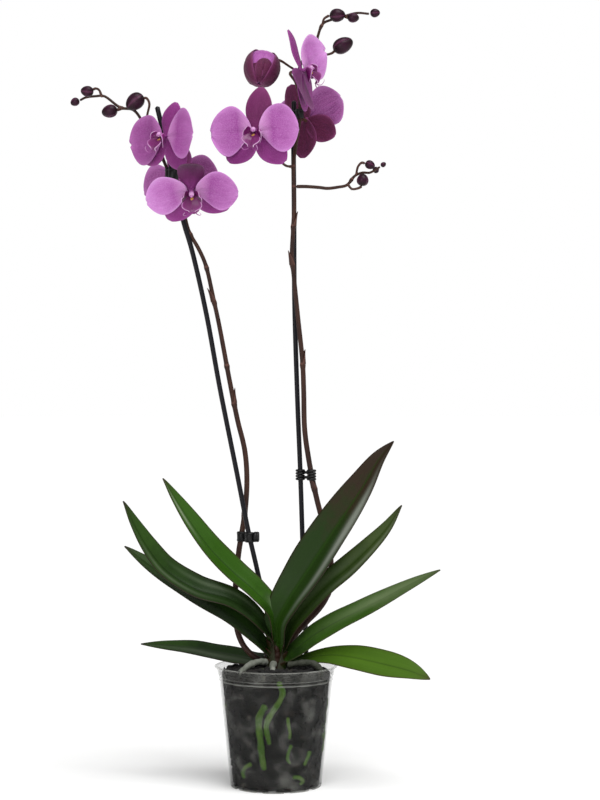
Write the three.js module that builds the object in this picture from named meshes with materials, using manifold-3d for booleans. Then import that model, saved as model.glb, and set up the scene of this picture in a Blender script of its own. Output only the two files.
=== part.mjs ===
// Potted moth orchid: two flower spikes in a thin clear grower's pot.
// Millimetres, +Z up, origin at the centre of the pot's underside, the plant faces -Y.

import * as THREE from "three";
import { mergeVertices } from "three/addons/utils/BufferGeometryUtils.js";
import Module from "manifold-3d";

const wasm = await Module();
wasm.setup();

// Driving dimensions
const clearance = 0.3;

const potHeight = 117;
const potRimRadius = 60;
const potBaseRadius = 44.5;
const potShoulderRadius = 55.4;
const potWall = 1.2;
const potFloor = 1.6;
const rimDrop = 9;
const drainSlots = 10;
const drainSlotWidth = 7;
const drainSlotHeight = 6;

const mediumTop = 106;

const stakeRadius = 2.4;
const spikeBaseRadius = 2.9;
const spikeTipRadius = 1.1;
const stalkRadius = 1.25;

const petalLength = 43;
const petalHalfWidth = 23;
const dorsalLength = 42;
const lipReach = 14;
const dorsalHalfWidth = 13;
const lateralLength = 40;
const lateralHalfWidth = 13;
const lateralSweep = -3;
const petalHalfThickness = 0.5;
const leafHalfThickness = 1.1;

const deg = Math.PI / 180;

// Materials
function finish(colour, roughness, metalness = 0) {
  return new THREE.MeshStandardMaterial({ color: colour, roughness, metalness });
}

const materials = {
  clearPlastic: finish("#8c8c86", 0.35),
  bark: finish("#3a2c20", 0.95),
  leaf: finish("#2f4a1c", 0.35),
  root: finish("#8c9080", 0.8),
  stem: finish("#3a2e24", 0.55),
  stake: finish("#1e1c26", 0.4),
  clip: finish("#0e0e0f", 0.4),
  petal: finish("#bd6fbb", 0.5),
  sepal: finish("#9a448d", 0.5),
  lip: finish("#8a2f7a", 0.45),
  bud: finish("#4f263c", 0.5),
};

// Solids
function toSolid(geometry) {
  geometry.deleteAttribute("normal");
  geometry.deleteAttribute("uv");
  const merged = mergeVertices(geometry, 1e-4);
  const mesh = new wasm.Mesh({
    numProp: 3,
    vertProperties: new Float32Array(merged.attributes.position.array),
    triVerts: new Uint32Array(merged.index.array),
  });
  return new wasm.Manifold(mesh);
}

function toGeometry(solid) {
  const mesh = solid.getMesh();
  const geometry = new THREE.BufferGeometry();
  geometry.setAttribute("position", new THREE.BufferAttribute(new Float32Array(mesh.vertProperties), 3));
  geometry.setIndex(new THREE.BufferAttribute(new Uint32Array(mesh.triVerts), 1));
  geometry.computeVertexNormals();
  return geometry;
}

function join(solids) {
  return solids.reduce((whole, solid) => whole.add(solid));
}

function largestBody(solid) {
  const bodies = solid.decompose();
  return bodies.reduce((best, body) => (body.volume() > best.volume() ? body : best));
}

function curveThrough(points) {
  const vectors = points.map((point) => new THREE.Vector3(...point));
  return new THREE.CatmullRomCurve3(vectors, false, "centripetal");
}

// A round rod bent along a curve, with a radius that changes along it.
function rod(points, radiusAt, { sides = 8, steps = 24, grow = 0 } = {}) {
  const curve = curveThrough(points);
  const frames = curve.computeFrenetFrames(steps, false);
  const geometry = new THREE.CylinderGeometry(1, 1, 1, sides, steps);
  const position = geometry.attributes.position;
  for (let i = 0; i < position.count; i += 1) {
    const t = 0.5 - position.getY(i);
    const step = Math.round(t * steps);
    const radius = radiusAt(t) + grow;
    const centre = curve.getPointAt(t);
    centre.addScaledVector(frames.tangents[step], (2 * t - 1) * grow);
    centre.addScaledVector(frames.normals[step], position.getZ(i) * radius);
    centre.addScaledVector(frames.binormals[step], position.getX(i) * radius);
    position.setXYZ(i, centre.x, centre.y, centre.z);
  }
  return outward(toSolid(geometry), geometry);
}

// A bent shape may come out with its faces turned in; this turns them out.
function outward(solid, geometry) {
  if (solid.volume() > 0) {
    return solid;
  }
  const index = geometry.index.array;
  for (let i = 0; i < index.length; i += 3) {
    [index[i], index[i + 1]] = [index[i + 1], index[i]];
  }
  return toSolid(geometry);
}

// A thin closed body. surface(s, t) gives its middle for s from -1 to 1 across and t from 0 to 1 along.
function sheet(surface, halfThickness, { columns = 5, rows = 7, grow = 0 } = {}) {
  const geometry = new THREE.BoxGeometry(2, 2, 2, columns, rows, 1);
  const position = geometry.attributes.position;
  const delta = 0.01;
  for (let i = 0; i < position.count; i += 1) {
    const s = position.getX(i);
    const t = (position.getY(i) + 1) / 2;
    const side = Math.sign(position.getZ(i));
    const middle = surface(s, t);
    const across = surface(s + delta, t).sub(surface(s - delta, t)).normalize();
    const along = surface(s, Math.min(t + delta, 1)).sub(surface(s, Math.max(t - delta, 0))).normalize();
    const normal = new THREE.Vector3().crossVectors(across, along).normalize();
    const half = halfThickness * (1 - 0.45 * s * s) + grow;
    middle.addScaledVector(normal, side * half);
    middle.addScaledVector(across, s * grow);
    middle.addScaledVector(along, (2 * t - 1) * grow);
    position.setXYZ(i, middle.x, middle.y, middle.z);
  }
  return outward(toSolid(geometry), geometry);
}

function turned(profile, segments) {
  return toSolid(new THREE.LatheGeometry(profile.map(([r, z]) => new THREE.Vector2(r, z)), segments)
    .rotateX(90 * deg));
}

function blob(radii, centre, { sides = 10, rings = 6, grow = 0 } = {}) {
  const geometry = new THREE.SphereGeometry(1, sides, rings);
  geometry.scale(radii[0] + grow, radii[1] + grow, radii[2] + grow);
  geometry.translate(...centre);
  return toSolid(geometry);
}

// Pot and bark
function makePot() {
  const wallTop = potHeight - rimDrop;
  const profile = [
    [0, 0], [potBaseRadius - 1.5, 0], [potBaseRadius, 1.5],
    [potShoulderRadius, wallTop], [potShoulderRadius + 1.2, wallTop + 1],
    [potRimRadius - 2.4, potHeight - 1.4], [potRimRadius, potHeight - 1],
    [potRimRadius, potHeight], [potRimRadius - 3.4, potHeight],
    [potShoulderRadius, wallTop + 2], [potShoulderRadius - potWall, wallTop],
    [potBaseRadius - potWall + 0.2, potFloor], [0, potFloor],
  ];
  let pot = turned(profile, 32);
  for (let i = 0; i < drainSlots; i += 1) {
    const slot = new THREE.BoxGeometry(drainSlotWidth, 12, drainSlotHeight);
    slot.translate(0, -potBaseRadius, drainSlotHeight / 2 - 0.8);
    slot.rotateZ(((i + 0.42) * 2 * Math.PI) / drainSlots);
    pot = pot.subtract(toSolid(slot));
  }
  return pot;
}

function makeMedium() {
  const gap = potWall + clearance + 0.1;
  const profile = [
    [0, potFloor + clearance], [potBaseRadius - gap - 0.4, potFloor + clearance],
    [potShoulderRadius - gap - 0.5, mediumTop - 4], [46, mediumTop - 1], [28, mediumTop + 2.4],
    [0, mediumTop + 3],
  ];
  return turned(profile, 24);
}

function makeCrown(grow = 0) {
  const profile = [
    [0, 110 - grow], [9 + grow, 110 - grow], [8 + grow, 120], [6.5 + grow, 134],
    [3.5 + grow, 142 + grow], [0, 142 + grow],
  ];
  return turned(profile, 10);
}

// Leaves: a midline, half the width, how far the upper face rolls to the front, and the V fold
const leaves = {
  leaf_right_upper: {
    midline: [[2, -3, 137], [2, -7, 159], [12, -8, 179.5], [27.5, -7, 203], [53.5, -8, 243],
      [84.5, -14, 291], [100, -19, 318.5], [113.5, -22, 336]],
    halfWidth: 23, roll: 56, fold: 25, neck: 0.4, widest: 0.42, swell: 1,
  },
  leaf_left_upper: {
    midline: [[-1, -1, 142], [-4, -6, 168.5], [-22, -8, 189.5], [-42.5, -8, 207.5], [-64, -9, 229.5],
      [-82.5, -12, 255], [-99, -16, 281.5], [-109, -20, 300]],
    halfWidth: 15, roll: 45, fold: 27, neck: 0.45, widest: 0.42, swell: 1,
  },
  leaf_right_middle: {
    midline: [[5, -1, 133], [14.5, -5, 155], [30, -7, 175], [50, -7, 195.5], [71, -6, 213],
      [91, -5, 232.5], [108, -3, 252], [121, 0, 273]],
    halfWidth: 13.5, roll: 50, fold: 25, neck: 0.45, widest: 0.42, swell: 1,
  },
  leaf_left_middle: {
    midline: [[-6, -4, 147], [-25, -10, 168], [-45, -14, 181], [-78, -18, 192], [-107, -22, 211],
      [-124, -26, 233], [-137, -30, 257], [-146, -35, 279]],
    halfWidth: 15.5, roll: 42, fold: 27, neck: 0.45, widest: 0.42, swell: 1,
  },
  leaf_left_lower: {
    midline: [[-7, 0, 130], [-20.4, -4, 145], [-44.7, -6, 165.5], [-84, -5, 189], [-123, -2, 214],
      [-147, 0, 233]],
    halfWidth: 15, roll: 40, fold: 20, neck: 0.45, widest: 0.42, swell: 1,
  },
  leaf_right_lower: {
    midline: [[8.7, 0, 124], [22, -2, 133], [37, -5, 145.5], [56.5, -8, 157.5], [81, -12, 170.5],
      [105, -18, 183.5], [128, -24, 196.5], [158, -30, 212.4]],
    halfWidth: 12.5, roll: 42, fold: 13, neck: 0.6, widest: 0.25, swell: 1,
  },
  leaf_left_bottom: {
    midline: [[-8, 5, 121], [-21, 12, 120], [-39, 20, 122], [-61, 28, 125], [-82, 34, 128.5],
      [-110, 42, 130.5], [-136, 50, 131.5]],
    halfWidth: 13, roll: 28, fold: 11, neck: 0.6, widest: 0.3, swell: 1,
  },
  leaf_right_bottom: {
    midline: [[8, 4, 118], [23.4, 4, 121.5], [41, 0, 125], [57, -5, 126.5], [75, -14, 125.5],
      [104, -28, 121], [127.5, -40, 116.5], [147, -50, 110.5]],
    halfWidth: 15.5, roll: 46, fold: 11, neck: 0.2, widest: 0.62, swell: 1.7,
  },
};

// Share of the full width at t: a narrow neck at the crown, the widest place, then a drawn-out point
function leafWidth(t, { neck, widest, swell }) {
  const rise = neck + (1 - neck) * Math.pow(Math.sin((Math.PI / 2) * Math.min(t / widest, 1)), swell);
  const fall = Math.pow(1 - Math.pow(Math.max(0, (t - widest) / (1 - widest)), 2.2), 0.9);
  return rise * fall;
}

function makeLeaf(leaf, grow = 0) {
  const { midline, halfWidth, roll, fold } = leaf;
  const curve = curveThrough(midline);
  const far = new THREE.Vector3(0, 1, 0);
  const surface = (s, t) => {
    const along = curve.getTangentAt(t);
    const back = far.clone().addScaledVector(along, -far.dot(along)).normalize();
    const up = new THREE.Vector3().crossVectors(back, along);
    up.multiplyScalar(midline[0][0] < midline[midline.length - 1][0] ? -1 : 1);
    const across = back.clone().multiplyScalar(Math.cos(roll * deg));
    across.addScaledVector(up, Math.sin(roll * deg));
    const face = up.clone().multiplyScalar(Math.cos(roll * deg));
    face.addScaledVector(back, -Math.sin(roll * deg));
    const width = halfWidth * leafWidth(t, leaf) + 0.6;
    const point = curve.getPointAt(t);
    point.addScaledVector(across, s * width * Math.cos(fold * deg));
    point.addScaledVector(face, Math.sqrt(s * s + 0.01) * width * Math.sin(fold * deg));
    return point;
  };
  return sheet(surface, leafHalfThickness, { columns: 4, rows: 14, grow });
}

// Aerial roots
const roots = {
  root_left: [[-9, -4, 121], [-17, -11, 122], [-27, -17, 118.5], [-36, -21, 110.5], [-38, -23, 107]],
  root_front: [[-3, -9, 119], [-4, -14, 116], [-2, -18, 111], [-1, -21, 108.8]],
  root_right: [[12, -4, 121], [24, -10, 122.5], [36, -15, 121], [43, -18, 114], [45, -20, 107]],
};
const rootRadius = 2.5;

function makeRoot(points, grow = 0) {
  return rod(points, () => rootRadius, { sides: 8, steps: 10, grow });
}

// Flower spikes
const spikeLeft = [
  [-9, 7, 118.5], [-21, 7, 124], [-32, 10, 135], [-38.5, 14, 151], [-40.5, 18, 179], [-37.5, 21, 222],
  [-31, 21, 265], [-29, 20, 297], [-31, 17, 326], [-38, 14, 356], [-45, 12, 391], [-56, 9, 450],
  [-61, 8, 473], [-69, 5, 508], [-75.5, 3, 523], [-85, 1, 540], [-90, 0, 558], [-97, 0, 579],
  [-105, 0, 598], [-111, 0, 612], [-119, -1, 626], [-127, -3, 638], [-132, -5, 650], [-139, -6, 658],
  [-151, -7, 660], [-167, -8, 671], [-175, -8, 671], [-185, -9, 669.5], [-190, -9, 667],
];
const spikeRight = [
  [9, 9, 124], [16, 15, 141], [30, 19, 157], [40, 20.5, 167], [48, 21, 178], [52.5, 21, 190],
  [54, 21, 213], [51, 19.5, 238], [43, 17, 266], [37, 15, 291], [32, 13, 317], [28, 12, 346],
  [27, 11, 385], [26, 10, 411], [21.4, 9, 457], [17.5, 7, 496], [15.6, 5, 516], [16.6, 3, 542],
  [17.8, 2, 571], [17, 1, 604], [20, 0, 630], [23, 0, 649], [23, 0, 686], [22, 0, 696],
  [25.4, 2, 706], [32, 4, 715], [39, 5, 723], [41, 5, 732], [46, 5, 744], [54, 4, 747.5],
  [67, 3, 751], [79, 3, 754], [90.5, 2, 753],
];
const sideBranch = [
  [20.5, 0, 584], [29, 0, 584], [42, -1, 583], [50, -2, 582], [60, -3, 583], [69, -4, 585],
  [77, -4, 594], [84, -4, 597], [91, -4, 597], [95.5, -4, 599], [101, -4, 602.5],
];

// Flowers: centre, turn to the right, tilt up and clockwise roll. petals and laterals hold the angles of
// the left and the right one, cup and hood how far petal and dorsal tips bend forward. petalSize and dorsal
// are shares of the full length and width.
const flowers = {
  flower_left_top: {
    centre: [-105, -38, 627], turn: -42, tilt: 2, roll: 15, size: 0.95,
    petals: [-22, 12], petalSize: [1.04, 1.08], laterals: [40, 50], cup: 5, hood: -3, dorsal: [0.86, 0.95],
  },
  flower_left_back: {
    centre: [-97, 36, 593], turn: 162, tilt: 2, roll: -4, size: 0.94,
    petals: [8, -20], petalSize: [1, 1], laterals: [36, 36], cup: 3, hood: -4, dorsal: [1, 1],
  },
  flower_left_front: {
    centre: [-79.5, -52, 575.5], turn: 3, tilt: -37, roll: -2, size: 1.06,
    petals: [-14, -5], petalSize: [0.97, 0.8], laterals: [32, 54], cup: 2, hood: 17, dorsal: [0.87, 0.84],
  },
  flower_right_front: {
    centre: [-19, -46, 631], turn: -13, tilt: -6, roll: 8, size: 1.0,
    petals: [-11, 10], petalSize: [1, 0.98], laterals: [38, 50], cup: 2.5, hood: -4, dorsal: [1, 0.9],
  },
  flower_right_top: {
    centre: [25, -34, 691], turn: 66, tilt: 4, roll: -24, size: 0.97,
    petals: [-40, 8], petalSize: [1, 1.02], laterals: [6, 26], cup: 10, hood: -4, dorsal: [1, 0.5],
  },
  flower_right_back: {
    centre: [30.5, 36, 653], turn: 152, tilt: -4, roll: 28, size: 0.96,
    petals: [2, 24], petalSize: [1, 1], laterals: [34, 30], cup: 3, hood: -4, dorsal: [1, 1],
  },
};

function flowerMatrix({ centre, turn, tilt, roll, size }) {
  const facing = new THREE.Vector3(
    Math.sin(turn * deg) * Math.cos(tilt * deg),
    -Math.cos(turn * deg) * Math.cos(tilt * deg),
    Math.sin(tilt * deg),
  );
  const right = new THREE.Vector3(Math.cos(turn * deg), Math.sin(turn * deg), 0);
  right.applyAxisAngle(facing, -roll * deg);
  const up = new THREE.Vector3().crossVectors(facing, right);
  const matrix = new THREE.Matrix4().makeBasis(right, up, facing);
  matrix.scale(new THREE.Vector3(size, size, size));
  return matrix.setPosition(...centre);
}

function petalOutline(t, halfWidth, claw) {
  const swell = Math.pow(Math.sin(Math.PI * Math.pow(t * 0.985 + 0.006, 1.25)), 0.62);
  return halfWidth * swell + claw * (1 - t) + 0.4;
}

function makePetal({ petals, petalSize, cup }, mirror, grow = 0) {
  const direction = petals[mirror > 0 ? 1 : 0] * deg;
  const surface = (s, t) => {
    const width = petalOutline(t, petalHalfWidth * petalSize[1], 1.2) * (s > 0 ? 1.08 : 0.92);
    const along = 3.6 + t * (petalLength * petalSize[0] - 3.6);
    const x = along * Math.cos(direction) - s * width * Math.sin(direction);
    const y = along * Math.sin(direction) + s * width * Math.cos(direction);
    const z = 0.75 + cup * Math.pow(along / petalLength, 2) + 1.5 * t * s * s;
    return new THREE.Vector3(mirror * Math.max(x, 0.7), y, z);
  };
  return sheet(surface, petalHalfThickness, { columns: 5, rows: 6, grow });
}

function makeLobe(angle, length, halfWidth, bend, level, grow) {
  const surface = (s, t) => {
    const width = halfWidth * Math.pow(Math.sin(Math.PI * Math.pow(t * 0.96 + 0.03, 1.1)), 0.7) + 1.2;
    const along = t * length;
    const x = along * Math.cos(angle * deg) - s * width * Math.sin(angle * deg);
    const y = along * Math.sin(angle * deg) + s * width * Math.cos(angle * deg);
    return new THREE.Vector3(x, y, level + bend * t * t * t);
  };
  return sheet(surface, petalHalfThickness, { columns: 3, rows: 5, grow });
}

function makeSepals({ laterals, hood, dorsal }, grow = 0) {
  const boss = blob([3.2, 3.2, 0.6], [0, 0, -1.1], { sides: 8, rings: 4, grow });
  return join([
    boss,
    makeLobe(90, dorsalLength * dorsal[0], dorsalHalfWidth * dorsal[1], hood, -0.95, grow),
    makeLobe(270 - laterals[0], lateralLength, lateralHalfWidth, lateralSweep, -1.15, grow),
    makeLobe(270 + laterals[1], lateralLength, lateralHalfWidth, lateralSweep, -1.3, grow),
  ]);
}

function makeLip(grow = 0) {
  const column = blob([2.8, 3.4, 5], [0, 1.2, 7], { sides: 6, rings: 5, grow });
  const midLobe = sheet((s, t) => {
    const width = 2.4 + 5.6 * Math.pow(Math.sin(Math.PI * Math.min(t * 1.15, 0.97)), 1.4);
    const rise = 4.2 + 9.5 * Math.sin(2.3 * t) + 1.6 * s * s * (1 - t);
    return new THREE.Vector3(s * width, -1 - lipReach * t, rise);
  }, 0.8, { columns: 3, rows: 5, grow });
  const sideLobe = (mirror) => sheet((s, t) => {
    const spread = 2 + 3.6 * Math.sin(Math.PI * t * 0.9);
    return new THREE.Vector3(mirror * (1.5 + 8.5 * t), -5 + s * spread, 5.5 + 8 * t * t);
  }, 0.6, { columns: 2, rows: 3, grow });
  return join([column, midLobe, sideLobe(1), sideLobe(-1)]);
}

// Stalks from a spike to the back of a flower
function flowerBack(name) {
  return new THREE.Vector3(0, 0, -2.2).applyMatrix4(flowerMatrix(flowers[name]));
}

function flowerStalk(start, middle, name) {
  const back = flowerBack(name);
  const before = new THREE.Vector3(0, 0, -12).applyMatrix4(flowerMatrix(flowers[name]));
  return [start, ...middle, before.toArray(), back.toArray()];
}

const stalks = {
  spike_left: [
    flowerStalk([-112, 0, 613], [[-108, -14, 616]], "flower_left_top"),
    flowerStalk([-98, 0, 581], [], "flower_left_back"),
    flowerStalk([-90, 0, 558], [[-84, -12, 562]], "flower_left_front"),
    [[-128, -3.5, 641], [-125, -6, 654], [-123, -9, 664], [-126, -9, 669], [-130, -8.5, 668.5]],
    [[-149, -7, 660], [-152, -9, 658.6], [-154, -9.6, 657.8]],
    [[-169, -8, 671], [-172, -9, 677], [-175, -11, 678], [-177.2, -11.5, 677]],
  ],
  spike_right: [
    flowerStalk([17, 1, 604], [[9, -6, 604]], "flower_right_front"),
    flowerStalk([23, 0, 672], [[19, -10, 684]], "flower_right_top"),
    flowerStalk([21.5, 0, 636], [], "flower_right_back"),
    [[22, 0, 696], [14, -4, 700], [6, -9, 704.5], [2.4, -12, 705.5]],
    [[40, 5, 718], [47, 6, 714], [54, 6, 715], [57.5, 6, 717.5]],
    [[45, 5, 742], [47, 4, 748.5], [51.5, 3, 751.4]],
    [[67, 3, 751], [69, 1, 750]],
  ],
  side_branch: [
    [[70, -4, 586], [74, -6, 581], [80, -7.5, 581.5], [83, -8, 583]],
    [[78, -4, 595], [80, -6, 603], [83.5, -6.5, 606.5], [86, -6.5, 606]],
  ],
};

function makeSpike(route, radiusAt, steps, sideStalks, grow = 0) {
  const stem = rod(route, radiusAt, { sides: 7, steps, grow });
  const branches = sideStalks.map((points) => rod(points, () => stalkRadius, { sides: 5, steps: 6, grow }));
  return join([stem, ...branches]);
}

function taper(t) {
  return spikeBaseRadius + (spikeTipRadius - spikeBaseRadius) * Math.pow(t, 1.6);
}

// Buds: centre, the way the tip points, length and width
const buds = {
  bud_left_1: { centre: [-137, -8, 665.5], tip: [-0.75, 0, -0.65], length: 20, width: 16 },
  bud_left_2: { centre: [-161.5, -10, 656], tip: [-1, 0, -0.25], length: 15.5, width: 12.6 },
  bud_left_3: { centre: [-183, -12.5, 675], tip: [-1, 0, 0.1], length: 12.5, width: 10.5 },
  bud_left_4: { centre: [-195.2, -9, 665.2], tip: [-1, 0, -0.5], length: 9, width: 8 },
  bud_right_1: { centre: [65.5, 6, 723], tip: [0.88, 0, 0.45], length: 21, width: 15.5 },
  bud_right_2: { centre: [60, 2, 751.6], tip: [1, 0, 0.1], length: 15.5, width: 13 },
  bud_right_3: { centre: [75.3, -3.2, 748.2], tip: [1, -0.2, -0.1], length: 11.5, width: 9.5 },
  bud_right_4: { centre: [96.8, 2, 753.8], tip: [1, 0, 0.1], length: 9.6, width: 8.4 },
  bud_branch_1: { centre: [84.3, -8, 589.6], tip: [0.1, 0, 1], length: 12, width: 11.5 },
  bud_branch_2: { centre: [91.5, -6.5, 604.4], tip: [0.9, 0, -0.4], length: 10, width: 8.6 },
  bud_branch_3: { centre: [97.6, 2.3, 600.5], tip: [0.3, 1, 0.2], length: 7, width: 6.4 },
  bud_branch_4: { centre: [104.6, -4, 605], tip: [1, 0, 0.7], length: 5.6, width: 5 },
};

function eggProfile(length, width) {
  const rings = 7;
  const profile = [];
  for (let i = 0; i <= rings; i += 1) {
    const angle = (Math.PI * i) / rings;
    const radius = (width / 2) * Math.sin(angle) * (1 + 0.12 * Math.cos(angle));
    profile.push([i === 0 || i === rings ? 0 : radius, (-length / 2) * Math.cos(angle)]);
  }
  return profile;
}

function makeBud({ centre, tip, length, width }) {
  const egg = new THREE.LatheGeometry(
    eggProfile(length, width).map(([r, z]) => new THREE.Vector2(r, z)), 8);
  const direction = new THREE.Vector3(...tip).normalize();
  const turn = new THREE.Quaternion().setFromUnitVectors(new THREE.Vector3(0, 1, 0), direction);
  egg.applyQuaternion(turn);
  egg.translate(...centre);
  return toSolid(egg);
}

const halfOpenBud = { centre: [-13.5, -14, 696.5], tip: [-0.15, -0.5, -0.85], length: 38, width: 36 };

// Stakes and clips
const stakeLeft = [
  [3, 23, 30], [1.7, 22, 111], [-17.6, 13, 204], [-26, 9.5, 241], [-29.5, 8.5, 258], [-38.6, 7, 305],
  [-54.8, 6, 386], [-68.6, 3, 462], [-82.4, 0, 523], [-90, -3, 549], [-101, -6, 599], [-115.3, -8, 660],
];
const stakeRight = [
  [30, 27, 30], [29.8, 27, 110], [25.6, 23, 246.5], [23.7, 21, 305], [21, 19, 373], [18, 16, 474],
  [17.5, 12, 572], [17, 10, 640], [17.5, 9, 668],
];

function makeStake(points, grow = 0) {
  return rod(points, () => stakeRadius, { sides: 8, steps: 16, grow });
}

// A clip is two sleeves and a bridge, bored by the stake and the stem it holds.
function makeClip({ stakeAt, stemAt, height, sleeve, barrelAt }) {
  const around = ([x, y, z]) => {
    const geometry = new THREE.CylinderGeometry(sleeve, sleeve, height, 12);
    geometry.rotateX(90 * deg);
    geometry.translate(x, y, z);
    return toSolid(geometry);
  };
  const from = new THREE.Vector3(...stakeAt);
  const to = new THREE.Vector3(...stemAt);
  const span = to.clone().sub(from);
  const bridge = new THREE.BoxGeometry(span.length(), 3, height * 0.7);
  bridge.rotateZ(Math.atan2(span.y, span.x));
  bridge.translate(...from.add(to).multiplyScalar(0.5).toArray());
  const solids = [around(stakeAt), around(stemAt), toSolid(bridge)];
  if (barrelAt) {
    const barrel = new THREE.CylinderGeometry(5.2, 5.2, 6, 14).rotateZ(90 * deg).translate(...barrelAt);
    solids.push(toSolid(barrel));
  }
  return join(solids);
}

const clips = {
  clip_left_lower: {
    stakeAt: [-26, 9.5, 241], stemAt: [-34.4, 21, 241], height: 10, sleeve: 4.4,
    barrelAt: [-19.4, 8.5, 241.5],
  },
  clip_left_upper: { stakeAt: [-100, -5.8, 594], stemAt: [-103.4, 0, 594], height: 17, sleeve: 4.9 },
  clip_right_lower: { stakeAt: [23.7, 21, 302], stemAt: [34.7, 14, 302], height: 11, sleeve: 4.8 },
  clip_right_upper: { stakeAt: [17.3, 9.2, 655], stemAt: [23, 0, 655], height: 9, sleeve: 4.1 },
};

// Every piece: its solid, with a grown copy to clear its neighbours, and what cuts it
const pieces = [];

function addPiece(name, material, shape, cutBy = [], matrix = new THREE.Matrix4()) {
  pieces.push({ name, material, shape, cutBy, matrix });
}

addPiece("pot", materials.clearPlastic, makePot);
addPiece("growing_medium", materials.bark, makeMedium,
  ["crown", "stake_left", "stake_right", "root_left", "root_front", "root_right"]);
addPiece("crown", materials.leaf, makeCrown);

const leafNames = Object.keys(leaves);
leafNames.forEach((name, i) => {
  addPiece(name, materials.leaf, (grow) => makeLeaf(leaves[name], grow), ["crown", ...leafNames.slice(0, i)]);
});

for (const [name, points] of Object.entries(roots)) {
  addPiece(name, materials.root, (grow) => makeRoot(points, grow), ["crown", ...leafNames]);
}

addPiece("stake_left", materials.stake, (grow) => makeStake(stakeLeft, grow));
addPiece("stake_right", materials.stake, (grow) => makeStake(stakeRight, grow));
addPiece("spike_left", materials.stem, (grow) => makeSpike(spikeLeft, taper, 40, stalks.spike_left, grow),
  ["crown", ...leafNames, "stake_left"]);
addPiece("spike_right", materials.stem, (grow) => makeSpike(spikeRight, taper, 44, stalks.spike_right, grow),
  ["crown", ...leafNames, "stake_right"]);
addPiece("side_branch", materials.stem,
  (grow) => makeSpike(sideBranch, (t) => 1.7 - 0.7 * t, 10, stalks.side_branch, grow), ["spike_right"]);

for (const [name, clip] of Object.entries(clips)) {
  const side = name.includes("left") ? "left" : "right";
  addPiece(name, materials.clip, () => makeClip(clip), [`stake_${side}`, `spike_${side}`]);
}

for (const [name, flower] of Object.entries(flowers)) {
  const matrix = flowerMatrix(flower);
  addPiece(`${name}_sepals`, materials.sepal, (grow) => makeSepals(flower, grow), [], matrix);
  addPiece(`${name}_petal_left`, materials.petal, (grow) => makePetal(flower, -1, grow), [], matrix);
  addPiece(`${name}_petal_right`, materials.petal, (grow) => makePetal(flower, 1, grow), [], matrix);
  addPiece(`${name}_lip`, materials.lip, (grow) => makeLip(grow), [], matrix);
}

addPiece("half_open_bud", materials.bud, () => makeBud(halfOpenBud), ["spike_right"]);
for (const [name, bud] of Object.entries(buds)) {
  addPiece(name, materials.bud, () => makeBud(bud), ["spike_left", "spike_right", "side_branch"]);
}

function inPlace(piece, grow) {
  return piece.shape(grow).transform(piece.matrix.elements);
}

const grownShapes = new Map();

function grownShape(name) {
  if (!grownShapes.has(name)) {
    grownShapes.set(name, inPlace(pieces.find((piece) => piece.name === name), clearance));
  }
  return grownShapes.get(name);
}

const orchid = new THREE.Group();
for (const piece of pieces) {
  let solid = inPlace(piece, 0);
  for (const name of piece.cutBy) {
    solid = solid.subtract(grownShape(name));
  }
  solid = largestBody(solid).transform(piece.matrix.clone().invert().elements);
  const mesh = new THREE.Mesh(toGeometry(solid), piece.material);
  mesh.name = piece.name;
  mesh.applyMatrix4(piece.matrix);
  orchid.add(mesh);
}

export default orchid;
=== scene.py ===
import math
import random

import bpy
import numpy as np
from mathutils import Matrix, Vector


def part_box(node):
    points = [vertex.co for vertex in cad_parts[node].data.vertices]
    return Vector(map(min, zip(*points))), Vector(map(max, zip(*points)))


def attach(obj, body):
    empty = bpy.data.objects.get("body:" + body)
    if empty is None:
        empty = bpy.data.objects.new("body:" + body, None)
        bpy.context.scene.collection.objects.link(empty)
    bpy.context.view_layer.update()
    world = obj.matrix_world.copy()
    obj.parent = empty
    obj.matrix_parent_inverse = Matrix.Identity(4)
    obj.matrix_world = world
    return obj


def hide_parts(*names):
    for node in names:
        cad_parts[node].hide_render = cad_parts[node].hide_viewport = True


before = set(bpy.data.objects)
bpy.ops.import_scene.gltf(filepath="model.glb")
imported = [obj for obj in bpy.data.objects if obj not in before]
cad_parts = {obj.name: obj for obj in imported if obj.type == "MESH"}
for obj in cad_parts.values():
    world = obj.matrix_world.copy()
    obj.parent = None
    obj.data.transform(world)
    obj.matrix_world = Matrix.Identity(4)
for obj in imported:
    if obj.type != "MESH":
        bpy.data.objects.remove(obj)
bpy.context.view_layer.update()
mm = 0.001
print("frame loaded")

# All shapes below are worked out in millimetres in the row's frame and turned to metres in makePiece.


def linear(hexCode):
    channels = [int(hexCode[i:i + 2], 16) / 255 for i in (1, 3, 5)]
    return tuple(c / 12.92 if c <= 0.04045 else ((c + 0.055) / 1.055) ** 2.4 for c in channels) + (1.0,)


def unit(vectors):
    vectors = np.asarray(vectors, float)
    return vectors / np.maximum(np.linalg.norm(vectors, axis=-1, keepdims=True), 1e-12)


def nodeBox(node):
    low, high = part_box(node)
    return np.array(low) / mm, np.array(high) / mm


# How far a group of shells has to move for its box to be centred on that of its CAD nodes
largestShift = [0.0]


def shiftOnto(shells, nodes):
    boxes = [nodeBox(node) for node in nodes]
    lowest = np.min([low for low, high in boxes], axis=0)
    highest = np.max([high for low, high in boxes], axis=0)
    target = (lowest + highest) / 2
    verts = np.concatenate([shell["verts"] for shell in shells])
    shift = target - (verts.min(axis=0) + verts.max(axis=0)) / 2
    largestShift[0] = max(largestShift[0], float(np.abs(shift).max()))
    return shift


# Length so far at each point of a path
def runAlong(path):
    return np.concatenate([[0], np.cumsum(np.linalg.norm(np.diff(path, axis=0), axis=1))])


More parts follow.
